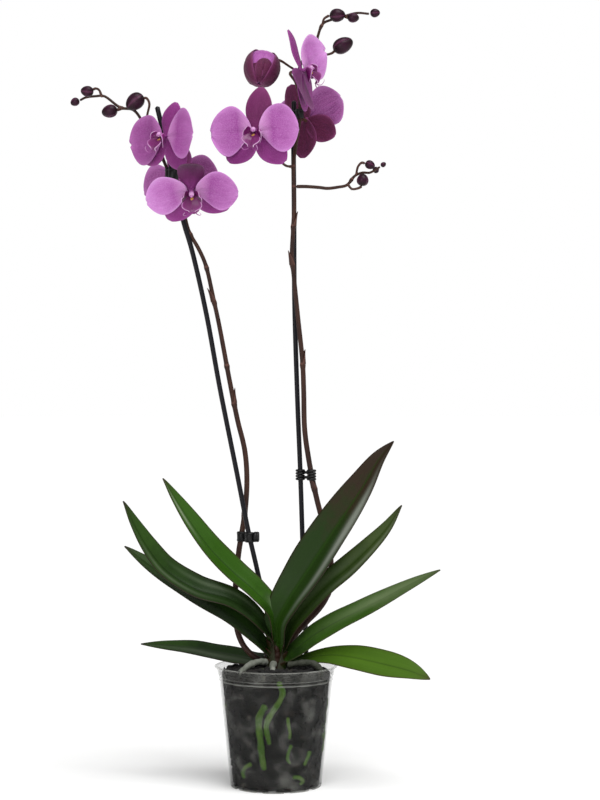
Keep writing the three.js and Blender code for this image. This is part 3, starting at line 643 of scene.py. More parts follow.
for route, thick in wallRoots["routes"]:
    path = []
    for turn, z in route:
        reach = potInnerRadius(z) - thick - 0.25
        path.append((reach * math.sin(math.radians(turn)), -reach * math.cos(math.radians(turn)), z))
    wallPaths.append((smoothPath(path, 60), thick))


def besideRoot(point):
    return any(np.linalg.norm(path - point, axis=1).min() < thick + wallRoots["clearance"]
               for path, thick in wallPaths)


# Growing medium: a core of packed fines with loose bark chips against the wall and heaped on top
medium = {"wallChips": 900, "wallSizes": (4.0, 10.0), "wallWidths": (3.5, 8), "wallThickness": (2.6, 4.2),
          "topChips": 460, "topSizes": (6.0, 15.0), "topWidths": (4, 10), "topThickness": 5, "topTilt": 0.7,
          "top": 111.0, "heapRadius": 50, "coreGap": 4, "edgeGap": 1.5, "seed": 7}
mediumRandom = random.Random(medium["seed"])


def chipShell(centre, size, basis, shade):
    rings, sides = 4, 6
    verts = []
    for i in range(rings):
        level = -0.5 + i / (rings - 1)
        reach = 0.5 if 0 < i < rings - 1 else 0.36
        for j in range(sides):
            angle = 2 * math.pi * (j + mediumRandom.uniform(-0.2, 0.2)) / sides
            r = reach * mediumRandom.uniform(0.72, 1.0)
            verts.append((r * math.cos(angle) * size[0], r * math.sin(angle) * size[1],
                          (level + mediumRandom.uniform(-0.06, 0.06)) * size[2]))
    faces = ringFaces(rings, sides)
    faces.append(tuple(range(sides - 1, -1, -1)))
    faces.append(tuple(range((rings - 1) * sides, rings * sides)))
    return placed(plainShell(np.array(verts), faces, shade), basis, centre)


def coreShift(r, z, angle):
    lumps = np.sin(angle * 9 + z * 0.21) * np.sin(z * 0.33 + 1.3 * np.sin(angle * 4))
    return np.where(r > 20, 0.8 * lumps, 0)


coreProfile = [(0, 2.2), (30, 2.2), (40.5, 2.4)]
coreProfile += [(potInnerRadius(z) - medium["coreGap"], z) for z in np.linspace(5, 104, 40)]
coreProfile += [(48.5, 106), (42, 108.6), (20, 109.6), (0, 110)]
coreShell = latheShell(coreProfile, 120, coreShift)
coreShell["mark"] = coreShell["mark"] + 0.1
chips = []
for _ in range(medium["wallChips"]):
    turn = mediumRandom.uniform(0, 2 * math.pi)
    z = mediumRandom.uniform(4.5, 110)
    length, width = mediumRandom.uniform(*medium["wallSizes"]), mediumRandom.uniform(*medium["wallWidths"])
    out = np.array([math.cos(turn), math.sin(turn), -0.1])
    basis = basisFrom(out, mediumRandom.uniform(0, math.pi))
    centre = np.array([math.cos(turn), math.sin(turn), 0]) * (potInnerRadius(z) - 2.0) + np.array([0, 0, z])
    thick = mediumRandom.uniform(*medium["wallThickness"])
    chip = chipShell(centre, (length, width, thick), basis, mediumRandom.random() ** 1.8)
    if not besideRoot(centre):
        chips.append(chip)
for _ in range(medium["topChips"]):
    turn, r = mediumRandom.uniform(0, 2 * math.pi), medium["heapRadius"] * math.sqrt(mediumRandom.random())
    length, width = mediumRandom.uniform(*medium["topSizes"]), mediumRandom.uniform(*medium["topWidths"])
    lean = medium["topTilt"]
    tilt = np.array([mediumRandom.uniform(-lean, lean), mediumRandom.uniform(-lean, lean), 1])
    z = medium["top"] + mediumRandom.uniform(-1.5, 2.5) - 0.03 * r
    chips.append(chipShell(np.array([r * math.cos(turn), r * math.sin(turn), z]),
                           (length, width, medium["topThickness"]),
                           basisFrom(tilt, mediumRandom.uniform(0, math.pi)), mediumRandom.random() ** 2.4))
# no chip may poke through the wall
for chip in chips:
    reach = np.hypot(chip["verts"][:, 0], chip["verts"][:, 1])
    limit = np.array([potInnerRadius(min(z, 110)) for z in chip["verts"][:, 2]]) - medium["edgeGap"]
    chip["verts"][:, :2] *= np.minimum(1, limit / np.maximum(reach, 1))[:, None]
makePiece("barkCore", [coreShell], [barkFinish], ["growing_medium"])
makePiece("barkChips", chips, [barkFinish], smooth=False)
print("growing medium made:", len(chips), "chips")

# Roots: silvery and shaded ones lie over the bark, green ones press against the inside of the pot
rootRadii = {"aerial": 3.1, "surface": 2.0}
surfaceRoots = {"starts": (-150, -40, 20, 75, 140, 200), "from": 14.0, "to": 44, "steps": (4, 7),
                "wander": 0.16}
rootRoutes = {
    "root_left": [(-9, -4, 121), (-17, -11, 122), (-27, -17, 118.5), (-36, -21, 110.5), (-38, -23, 107)],
    "root_front": [(-3, -9, 121), (-4, -15, 119), (-3, -22, 113), (-2, -25, 108)],
    "root_right": [(12, -2, 119), (24, -5, 121.5), (35, -6, 121.5), (42, -7, 116), (45, -8, 109)],
}


def rootRadius(base, phase):
    def radius(t, angle, run):
        swells = 0.09 * np.sin(run * 0.42 + phase) + 0.05 * np.sin(run * 1.1 + angle * 2)
        return base * (1 + swells + 0.03 * np.sin(angle * 3 + run * 0.2 + phase)) * (1 - 0.25 * t**6)

    return radius


for index, (name, points) in enumerate(rootRoutes.items()):
    root = tubeShell(points, rootRadius(rootRadii["aerial"], index), 20, 90)
    skin = shadedRoot if name == "root_right" else silverRoot
    makePiece(name.replace("_", "") + "Velamen", [root], [skin], [name], shiftOnto([root], [name]))

rootRandom = random.Random(wallRoots["seed"])
wallShells = [tubeShell(path, rootRadius(thick, path[0][0]), 16, 90) for path, thick in wallPaths]
makePiece("wallRoots", wallShells, [greenRoot])
# roots that wander outwards over the bark from the crown
looseRoots = []
wander = surfaceRoots["wander"]
for start in surfaceRoots["starts"]:
    points = []
    angle, r = math.radians(start), surfaceRoots["from"]
    while r < surfaceRoots["to"]:
        points.append((r * math.cos(angle), r * math.sin(angle), 114.4 + 1.4 * math.sin(r * 0.2) - 0.1 * r))
        angle += rootRandom.uniform(-wander, wander)
        r += rootRandom.uniform(*surfaceRoots["steps"])
    looseRoots.append(tubeShell(points, rootRadius(rootRadii["surface"], start), 14, 60))
makePiece("surfaceRoots", looseRoots, [shadedRoot])
print("roots made, largest shift", round(largestShift[0], 2), "mm")

# Crown: the short stem, wrapped by the bases of old leaves
crown = {"sheaths": 8, "twist": 0.06, "foot": 110.6, "step": 2.6, "sheathHeight": 12, "growth": 1.4}


def crownRadius(r, z, angle):
    return np.where(r > 1, 0.5 * np.sin(angle * 5 + z * 0.3) + 0.35 * np.sin(z * 1.1), 0)


crownProfile = [(0, 110.1), (8.4, 110.4)] + [(8.5 - 0.05 * (z - 112), z) for z in np.linspace(112, 120, 8)]
crownProfile += [(8.1 - 0.11 * (z - 120), z) for z in np.linspace(121, 134, 12)] + [(3.3, 141.2), (0, 142)]
crownShells = [latheShell(crownProfile, 48, crownRadius)]
for i in range(crown["sheaths"]):
    turn = math.pi * (i % 2) + crown["twist"] * (i - 3)
    bottom, height = crown["foot"] + crown["step"] * i, crown["sheathHeight"] + crown["growth"] * i

    def sheathSurface(s, t, i=i, turn=turn, height=height, bottom=bottom):
        angle = turn + s * 1.5 * (1 - 0.3 * t)
        r = 9.6 - 0.55 * i + 2.6 * t**2 * np.cos(s * 1.2)
        rise = height * t * (0.72 + 0.28 * np.cos(s * 1.5))
        return np.stack([r * np.cos(angle), r * 0.86 * np.sin(angle), bottom + rise], -1)

    crownShells.append(sheetShell(sheathSurface, 22, 16, lambda s, t: 1.5 - 0.8 * np.abs(s) ** 2,
                                  (math.cos(turn), math.sin(turn), 0)))

# Leaves: midline, half the width, how far the upper face rolls to the front and the V fold, in degrees. neck
# is the share of the width at the base, widest is how far along the blade is widest, and swell is how slowly
# it gets there. Each patch of painted highlight, a pale sheen or reflection off the wax, has a place and
# width across, a place and length along, and a strength.
leafUsual = {"neck": 0.45, "widest": 0.42, "swell": 1}
leaves = {
    "leaf_right_upper": {
        "midline": [(2, -3, 137), (2, -7, 159), (12, -8, 179.5), (27.5, -7, 203), (53.5, -8, 243),
                    (84.5, -14, 291), (100, -19, 318.5), (113.5, -22, 336)],
        "halfWidth": 23, "roll": 56, "fold": 25, "neck": 0.4,
        "paintedHighlight": ((-0.72, 0.13, 0.42, 0.25, 0.7), (-0.7, 0.22, 0.66, 0.17, 1.0)), "finish": "bronze"},
    "leaf_left_upper": {
        "midline": [(-1, -1, 142), (-4, -6, 168.5), (-22, -8, 189.5), (-42.5, -8, 207.5), (-64, -9, 229.5),
                    (-82.5, -12, 255), (-99, -16, 281.5), (-109, -20, 300)],
        "halfWidth": 15, "roll": 45, "fold": 27,
        "paintedHighlight": ((-0.45, 0.2, 0.82, 0.12, 0.8), (0.5, 0.28, 0.11, 0.06, 1.3)), "finish": "green"},
    "leaf_right_middle": {
        "midline": [(5, -1, 133), (14.5, -5, 155), (30, -7, 175), (50, -7, 195.5), (71, -6, 213),
                    (91, -5, 232.5), (108, -3, 252), (121, 0, 273)],
        "halfWidth": 13.5, "roll": 50, "fold": 25,
        "paintedHighlight": ((-0.6, 0.22, 0.7, 0.25, 0.8), (0.5, 0.3, 0.4, 0.2, 0.25)), "finish": "dark"},
    "leaf_left_middle": {
        "midline": [(-6, -4, 147), (-25, -10, 168), (-45, -14, 181), (-78, -18, 192), (-107, -22, 211),
                    (-124, -26, 233), (-137, -30, 257), (-146, -35, 279)],
        "halfWidth": 15.5, "roll": 42, "fold": 27,
        "paintedHighlight": ((-0.5, 0.2, 0.6, 0.22, 0.8), (0.6, 0.12, 0.35, 0.2, 0.6)), "finish": "grey"},
    "leaf_left_lower": {
        "midline": [(-7, 0, 130), (-20.4, -4, 145), (-44.7, -6, 165.5), (-84, -5, 189), (-123, -2, 214),
                    (-147, 0, 233)],
        "halfWidth": 15, "roll": 40, "fold": 20,
        "paintedHighlight": ((-0.5, 0.3, 0.65, 0.2, 0.4),), "finish": "grey"},
    "leaf_right_lower": {
        "midline": [(8.7, 0, 124), (22, -2, 133), (37, -5, 145.5), (56.5, -8, 157.5), (81, -12, 170.5),
                    (105, -18, 183.5), (128, -24, 196.5), (158, -30, 212.4)],
        "halfWidth": 12.5, "roll": 42, "fold": 13, "neck": 0.6, "widest": 0.25,
        "paintedHighlight": ((0.25, 0.5, 0.62, 0.3, 0.6),), "finish": "ribbed"},
    "leaf_left_bottom": {
        "midline": [(-8, 5, 121), (-21, 12, 120), (-39, 20, 122), (-61, 28, 125), (-82, 34, 128.5),
                    (-110, 42, 130.5), (-136, 50, 131.5)],
        "halfWidth": 13, "roll": 28, "fold": 11, "neck": 0.6, "widest": 0.3,
        "paintedHighlight": ((-0.4, 0.35, 0.45, 0.35, 0.7),), "finish": "grey"},
    "leaf_right_bottom": {
        "midline": [(8, 4, 118), (23.4, 4, 121.5), (41, 0, 125), (57, -5, 126.5), (75, -14, 125.5),
                    (104, -28, 121), (127.5, -40, 116.5), (147, -50, 110.5)],
        "halfWidth": 15.5, "roll": 46, "fold": 11, "neck": 0.2, "widest": 0.62, "swell": 1.7,
        "paintedHighlight": ((-0.2, 0.5, 0.5, 0.3, 0.25),), "finish": "sunny"},
}
leafBuild = {"columns": 28, "rows": 130, "thickness": 2.2, "edge": 0.55, "keel": 1.3, "edgeWave": 0.5,
             "foot": 113, "stemRadius": 9, "wrap": 1.35, "claspRows": 24}


def leafShell(leaf):
    rows = leafBuild["rows"]
    path = smoothPath(leaf["midline"], rows + 1)
    tangent = unit(np.gradient(path, axis=0))
    far = np.array([0.0, 1.0, 0.0])
    back = unit(far - tangent * (tangent @ far)[:, None])
    up = np.cross(back, tangent) * (-1 if leaf["midline"][0][0] < leaf["midline"][-1][0] else 1)
    roll, fold = math.radians(leaf["roll"]), math.radians(leaf["fold"])
    across = back * math.cos(roll) + up * math.sin(roll)
    face = up * math.cos(roll) - back * math.sin(roll)

    def surface(s, t):
        swell = np.sin(math.pi / 2 * np.minimum(t / leaf["widest"], 1)) ** leaf["swell"]
        rise = leaf["neck"] + (1 - leaf["neck"]) * swell
        fall = (1 - np.maximum(0, (t - leaf["widest"]) / (1 - leaf["widest"])) ** 2.2) ** 0.9
        width = (leaf["halfWidth"] * rise * fall + 0.6)[..., None]
        row = np.rint(t * rows).astype(int)
        wave = leafBuild["edgeWave"] * np.sin(t * 21 + leaf["halfWidth"] + s) * np.abs(s) ** 3 * (1 - t)
        flat = (s[..., None] * width * math.cos(fold)) * across[row]
        lift = (np.sqrt(s**2 + 0.01)[..., None] * width * math.sin(fold) + wave[..., None]) * face[row]
        return path[row] + flat + lift

    def thickness(s, t):
        keel = leafBuild["keel"] * np.exp(-(s / 0.14) ** 2) * (1 - t) ** 0.7
        return (leafBuild["thickness"] - leafBuild["edge"]) * (1 - np.abs(s) ** 2.5) * (1 - 0.45 * t) \
            + leafBuild["edge"] + keel

    # patches of painted highlight, sheen and reflection off the wax, stored in the mark
    def paintedHighlight(s, t):
        share = 0 * s
        for across, width, middle, length, strength in leaf["paintedHighlight"]:
            share = share + strength * np.exp(-((s - across) / width) ** 2 - ((t - middle) / length) ** 2)
        return np.clip(share, 0, 1)

    return sheetShell(surface, leafBuild["columns"], rows, thickness, face.mean(axis=0), paintedHighlight)


# The base of a blade wraps round the short stem and opens out into the blade's own V
def claspShell(leaf, blade, shift):
    columns, rows = leafBuild["columns"], leafBuild["rows"]
    grid = blade["verts"][:(columns + 1) * (rows + 1)].reshape(columns + 1, rows + 1, 3)
    edge, back = grid[:, 1], unit(grid[:, 0] - grid[:, 4])
    reach = np.array(leaf["midline"][3][:2]) - np.array(leaf["midline"][0][:2])
    heading = math.atan2(reach[1], reach[0])
    along = edge[-1] - edge[0]
    hand = 1 if along[1] * math.cos(heading) - along[0] * math.sin(heading) > 0 else -1
    foot, top = leafBuild["foot"], edge[:, 2].mean()
    gap = top - foot

    def surface(s, t):
        column = np.rint((s + 1) / 2 * columns).astype(int)
        turn = heading + hand * s * leafBuild["wrap"] * (1 - 0.35 * t)
        stem = np.stack([leafBuild["stemRadius"] * np.cos(turn), leafBuild["stemRadius"] * np.sin(turn),
                         foot + gap * t * (0.8 + 0.2 * np.cos(s * 2))], -1) - shift
        blend = (t**2 * (3 - 2 * t))[..., None]
        return stem * (1 - blend) + (edge[column] + back[column] * (1 - t)[..., None] * gap * 0.5) * blend

    shell = sheetShell(surface, columns, leafBuild["claspRows"],
                       lambda s, t: leafBuild["thickness"] - 1.5 * np.abs(s) ** 2.5,
                       (-math.cos(heading), -math.sin(heading), 0.6))
    shell["uv"] = shell["uv"] * np.array([1, 0.04])
    return shell


for name, leaf in leaves.items():
    blade = leafShell({**leafUsual, **leaf})
    shift = shiftOnto([blade], [name])
    makePiece(name.replace("_", "") + "Blade", [blade, claspShell(leaf, blade, shift)],
              [leafFinish[leaf["finish"]]], [name], shift)
makePiece("crownStem", crownShells, [leafFinish["sheath"]], ["crown"])
print("crown and leaves made, largest shift", round(largestShift[0], 2), "mm")

# Open flowers: centre, the way each faces in degrees, size, and how far its petals and side sepals swing.
# petalSize and dorsal are shares of the full length and width. cup bends the petals forward, hood the dorsal
# sepal. finish is for the left petal, the right petal, the side sepals and the dorsal sepal; its lighter and
# darker copies of the petal and sepal tones are painted light and shade.
flowers = {
    "flower_left_top": {
        "centre": (-105, -38, 627), "turn": -42, "tilt": 2, "roll": 15, "size": 0.95, "petals": (-22, 12),
        "petalSize": (1.04, 1.08), "laterals": (40, 50), "cup": 5, "hood": -3, "dorsal": (0.86, 0.95),
        "finish": ("paintedShadePetal", "paintedDimPetal", "sepal", "sepal")},
    "flower_left_back": {
        "centre": (-97, 36, 593), "turn": 162, "tilt": 2, "roll": -4, "size": 0.94, "petals": (8, -20),
        "petalSize": (1, 1), "laterals": (36, 36), "cup": 3, "hood": -4, "dorsal": (1, 1),
        "finish": ("paintedShadePetal", "paintedDimPetal", "sepal", "sepal")},
    "flower_left_front": {
        "centre": (-79.5, -52, 575.5), "turn": 3, "tilt": -37, "roll": -2, "size": 1.06, "petals": (-14, -5),
        "petalSize": (0.97, 0.8), "laterals": (32, 54), "cup": 2, "hood": 17, "dorsal": (0.87, 0.84),
        "finish": ("paintedLitPetal", "petal", "sepal", "paintedHoodShadowSepal")},
    "flower_right_front": {
        "centre": (-19, -46, 631), "turn": -13, "tilt": -6, "roll": 8, "size": 1.0, "petals": (-11, 10),
        "petalSize": (1, 0.98), "laterals": (38, 50), "cup": 2.5, "hood": -4, "dorsal": (1, 0.9),
        "finish": ("petal", "petal", "sepal", "darkAndShadedSepal")},
    "flower_right_top": {
        "centre": (25, -34, 691), "turn": 66, "tilt": 4, "roll": -24, "size": 0.97, "petals": (-40, 8),
        "petalSize": (1, 1.02), "laterals": (6, 26), "cup": 10, "hood": -4, "dorsal": (1, 0.5),
        "finish": ("shadedPetal", "paintedLitPetal", "sepal", "sepal")},
    "flower_right_back": {
        "centre": (30.5, 36, 653), "turn": 152, "tilt": -4, "roll": 28, "size": 0.96, "petals": (2, 24),
        "petalSize": (1, 1), "laterals": (34, 30), "cup": 3, "hood": -4, "dorsal": (1, 1),
        "finish": ("paintedDimPetal", "paintedDimPetal", "darkAndShadedSepal", "darkAndShadedSepal")},
}


def flowerBasis(flower):
    turn, tilt, roll = (math.radians(flower[key]) for key in ("turn", "tilt", "roll"))
    facing = np.array([math.sin(turn) * math.cos(tilt), -math.cos(turn) * math.cos(tilt), math.sin(tilt)])
    level = np.array([math.cos(turn), math.sin(turn), 0])
    right = level * math.cos(roll) - np.cross(facing, level) * math.sin(roll)
    return np.stack([right, np.cross(facing, right), facing], axis=1) * flower["size"]


def behindFlower(name, depth):
    flower = flowers[name]
    return tuple(np.array(flower["centre"]) + flowerBasis(flower) @ np.array([0, 0, -depth]))


def flowerStalk(start, middle, name):
    return [start, *middle, behindFlower(name, 12), behindFlower(name, 1.6)]


# Flower spikes: the stem's route, its radii at the two ends, the heights of its nodes and sheaths, and the
# stalks that leave it for flowers and buds
spikes = {
    "spike_left": {
        "route": [(-9, 7, 118.5), (-21, 7, 124), (-32, 10, 135), (-38.5, 14, 151), (-40.5, 18, 179),
                  (-37.5, 21, 222), (-31, 21, 265), (-29, 20, 297), (-31, 17, 326), (-38, 14, 356),
                  (-45, 12, 391), (-56, 9, 450), (-61, 8, 473), (-69, 5, 508), (-75.5, 3, 523), (-85, 1, 540),
                  (-90, 0, 558), (-97, 0, 579),
                  (-105, 0, 598), (-111, 0, 612), (-119, -1, 626), (-127, -3, 638), (-132, -5, 650),
                  (-139, -6, 658), (-151, -7, 660), (-167, -8, 671), (-175, -8, 671), (-185, -9, 669.5),
                  (-190, -9, 667)],
        "radii": (2.9, 1.1), "nodes": (163, 262, 373, 410, 471, 506, 538, 558, 581, 613, 641, 660),
        "sheaths": (262, 373, 471), "flowerStalks": [
            flowerStalk((-112, 0, 613), [(-108, -14, 616)], "flower_left_top"),
            flowerStalk((-98, 0, 581), [], "flower_left_back"),
            flowerStalk((-90, 0, 558), [(-84, -12, 562)], "flower_left_front")],
        "budStalks": [
            [(-128, -3.5, 641), (-125, -6, 654), (-123, -9, 664), (-126, -9, 669), (-130, -8.5, 668.5)],
            [(-149, -7, 660), (-152, -9, 658.6), (-154, -9.6, 657.8)],
            [(-169, -8, 671), (-172, -9, 677), (-175, -11, 678), (-177.2, -11.5, 677)]]},
    "spike_right": {
        "route": [(9, 9, 124), (16, 15, 141), (30, 19, 157), (40, 20.5, 167), (48, 21, 178), (52.5, 21, 190),
                  (54, 21, 213), (51, 19.5, 238), (43, 17, 266), (37, 15, 291), (32, 13, 317), (28, 12, 346),
                  (27, 11, 385), (26, 10, 411), (21.4, 9, 457), (17.5, 7, 496), (15.6, 5, 516),
                  (16.6, 3, 542), (17.8, 2, 571), (17, 1, 604), (20, 0, 630), (23, 0, 649),
                  (23, 0, 686), (22, 0, 696),
                  (25.4, 2, 706), (32, 4, 715), (39, 5, 723), (41, 5, 732), (46, 5, 744), (54, 4, 747.5),
                  (67, 3, 751), (79, 3, 754), (90.5, 2, 753)],
        "radii": (2.9, 1.1), "nodes": (186, 289, 410, 508, 545, 584, 604, 636, 672, 696, 718, 742),
        "sheaths": (289, 410, 508, 545), "flowerStalks": [
            flowerStalk((17, 1, 604), [(9, -6, 604)], "flower_right_front"),
            flowerStalk((23, 0, 672), [(19, -10, 684)], "flower_right_top"),
            flowerStalk((21.5, 0, 636), [], "flower_right_back")],
        "budStalks": [
            [(22, 0, 696), (14, -4, 700), (6, -9, 704.5), (2.4, -12, 705.5)],
            [(40, 5, 718), (47, 6, 714), (54, 6, 715), (57.5, 6, 717.5)],
            [(45, 5, 742), (47, 4, 748.5), (51.5, 3, 751.4)],
            [(67, 3, 751), (69, 1, 750)]]},
    "side_branch": {
        "route": [(20.5, 0, 584), (29, 0, 584), (42, -1, 583), (50, -2, 582), (60, -3, 583), (69, -4, 585),
                  (77, -4, 594), (84, -4, 597), (91, -4, 597), (95.5, -4, 599), (101, -4, 602.5)],
        "radii": (1.7, 1.0), "nodes": (590,), "sheaths": (), "flowerStalks": [],
        "budStalks": [
            [(70, -4, 586), (74, -6, 581), (80, -7.5, 581.5), (83, -8, 583)],
            [(78, -4, 595), (80, -6, 603), (83.5, -6.5, 606.5), (86, -6.5, 606)]]},
}
stemBuild = {"nodeSwell": 0.55, "nodeLength": 2.2, "ringLight": 0.75, "sheathRadius": 2.6, "sheathLength": 15,
             "steps": 420}


def nodeRuns(path, heights):
    run = runAlong(path)
    found = []
    for height in heights:
        crossings = np.nonzero(np.diff(np.sign(path[:, 2] - height)))[0]
        if len(crossings):
            found.append(run[crossings[0]])
    return found


def bumps(run, places, length):
    return sum((np.exp(-((run - place) / length) ** 2) for place in places), np.zeros_like(run))


def stemShell(spike, path):
    runs = nodeRuns(path, spike["nodes"])
    first, last = spike["radii"]

    def radius(t, angle, run):
        even = first + (last - first) * t**1.6
        ribs = 0.07 * np.sin(angle * 5 + run * 0.02)
        return even + ribs + stemBuild["nodeSwell"] * bumps(run, runs, stemBuild["nodeLength"])

    def mark(t, angle, run):
        rings = bumps(run, [place + 1.4 for place in runs], 0.7)
        return np.clip(stemBuild["ringLight"] * rings, 0, 1) + 0 * angle

    return tubeShell(spike["route"], radius, 18, stemBuild["steps"], mark)


# A bract wraps the stem above a node and its tip stands a little away
def bractShell(path, height, radius, length, turn):
    run = runAlong(path)
    start = int(np.nonzero(np.diff(np.sign(path[:, 2] - height)))[0][0])
    tangent = unit(path[start + 3] - path[start])
    side = unit(np.cross(tangent, (0, 1, 0)))
    other = np.cross(tangent, side)

    def surface(s, t):
        angle = turn + s * 1.9 * (1 - t**1.5) + 0 * t
        place = run[start] + 1 + length * t
        base = np.stack([np.interp(place, run, path[:, k]) for k in range(3)], -1)
        r = (radius + 0.45 + 1.1 * t**3)[..., None]
        return base + r * (np.cos(angle)[..., None] * side + np.sin(angle)[..., None] * other)

    outward = side * math.cos(turn) + other * math.sin(turn)
    return sheetShell(surface, 16, 20, lambda s, t: 0.5 - 0.25 * t, outward,
                      lambda s, t: 0.15 + 0.5 * np.abs(s) ** 6 + 0.3 * t**4)


# A stalk widens towards its flower or bud and grows paler
def stalkShell(points, base, growth, power, ribs, rows, pale, paler):
    def radius(t, angle, run):
        return base + growth * t**power + ribs * np.sin(angle * 3)

    return tubeShell(points, radius, 12, rows, lambda t, angle, run: pale + paler * t + 0 * angle)


for name, spike in spikes.items():
    path = smoothPath(spike["route"], stemBuild["steps"])
    shells = [stemShell(spike, path)]
    for points in spike["flowerStalks"]:
        shells.append(stalkShell(points, 1.2, 0.5, 2, 0.06, 60, 0.15, 0.35))
    for points in spike["budStalks"]:
        shells.append(stalkShell(points, 1.1, 0.25, 3, 0.05, 40, 0.1, 0.2))
    for index, height in enumerate(spike["sheaths"]):
        shells.append(bractShell(path, height, stemBuild["sheathRadius"], stemBuild["sheathLength"],
                                 math.pi * (index % 2) + 0.4))
    for points in spike["flowerStalks"] + spike["budStalks"]:
        low = np.array(points[0], float)
        reach = unit(np.array(points[1], float) - low)
        # a small scale sits under the foot of each stalk
        scale = [low - reach * 0.5, low + reach * 3 - (0, 0, 1.2), low + reach * 6 - (0, 0, 1.6)]
        shells.append(tubeShell(scale, lambda t, angle, run: 1.5 * (1 - 0.75 * t), 10, 14,
                                lambda t, angle, run: 0.55 - 0.3 * t + 0 * angle))
    makePiece(name.replace("_", "") + "Stem", shells, [spikeFinish], [name])
print("spikes made")

# Flowers: outlines are in each flower's own millimetres, petals bowed over a crease, sepals behind them
petal = {"length": 43, "halfWidth": 23, "start": 3.6, "thickness": 0.9, "ripple": 0.85, "tipRipple": 0.7,
         "crease": 0.9, "creaseWidth": 0.13, "columns": 44, "rows": 40}
sepal = {"dorsal": (42, 13), "lateral": (40, 13), "sweep": -3, "thickness": 0.95, "bow": 2.4, "ripple": 0.4,
         "keel": 0.5, "columns": 30, "rows": 34}


def petalShell(flower, mirror, phase):
    direction = math.radians(flower["petals"][1 if mirror > 0 else 0])

    def surface(s, t):
        outline = np.sin(math.pi * (t * 0.985 + 0.006) ** (1.25 - 0.2 * s)) ** (0.62 - 0.08 * s)
        width = petal["halfWidth"] * flower["petalSize"][1] * outline + 1.2 * (1 - t) + 0.4
        width = width * (1 + 0.08 * np.tanh(s * 6)) * (1 + 0.025 * np.sin(t * 8 + phase + s))
        along = petal["start"] + t * (petal["length"] * flower["petalSize"][0] - petal["start"])
        x = along * math.cos(direction) - s * width * math.sin(direction)
        y = along * math.sin(direction) + s * width * math.cos(direction)
        ripple = petal["ripple"] * np.sin(t * 7.5 + 2.4 * s + phase) * np.abs(s) ** 2.2
        tipRipple = petal["tipRipple"] * np.sin(s * 5 + phase * 2) * t**5
        crease = -petal["crease"] * np.exp(-(s / petal["creaseWidth"]) ** 2) * (1 - t) ** 0.7
        cup = flower["cup"] * (along / petal["length"]) ** 2
        z = 0.9 + cup + 1.5 * t * s**2 + ripple + tipRipple + crease
        return np.stack([mirror * np.maximum(x, 0.7), y, z], -1)

    def thickness(s, t):
        return petal["thickness"] * (1 - 0.55 * np.abs(s) ** 3) * (1 - 0.3 * t)

    return sheetShell(surface, petal["columns"], petal["rows"], thickness, (0, 0, 1))


def lobeShell(angle, size, bend, level, phase):
    length, halfWidth = size
    direction = math.radians(angle)

    def surface(s, t):
        width = halfWidth * np.sin(math.pi * (t * 0.96 + 0.03) ** 1.1) ** 0.7 + 1.2
        along = t * length
        x = along * math.cos(direction) - s * width * math.sin(direction)
        y = along * math.sin(direction) + s * width * math.cos(direction)
        bow = -sepal["bow"] * s**2 * np.sin(math.pi * t) * 0.5
        ripple = sepal["ripple"] * np.sin(t * 9 + s * 3 + phase) * np.abs(s) ** 2
        keel = sepal["keel"] * np.exp(-(s / 0.12) ** 2) * (1 - t)
        return np.stack([x, y, level + bend * t**3 + bow + ripple - keel], -1)

    return sheetShell(surface, sepal["columns"], sepal["rows"],
                      lambda s, t: sepal["thickness"] * (1 - 0.5 * np.abs(s) ** 3), (0, 0, 1))


# The lip: a tongue between two raised side lobes, a freckled callus, the column over it with its cap, and two
# tendrils that curl up from the tongue's end
lip = {"reach": 14, "tendril": 0.55}


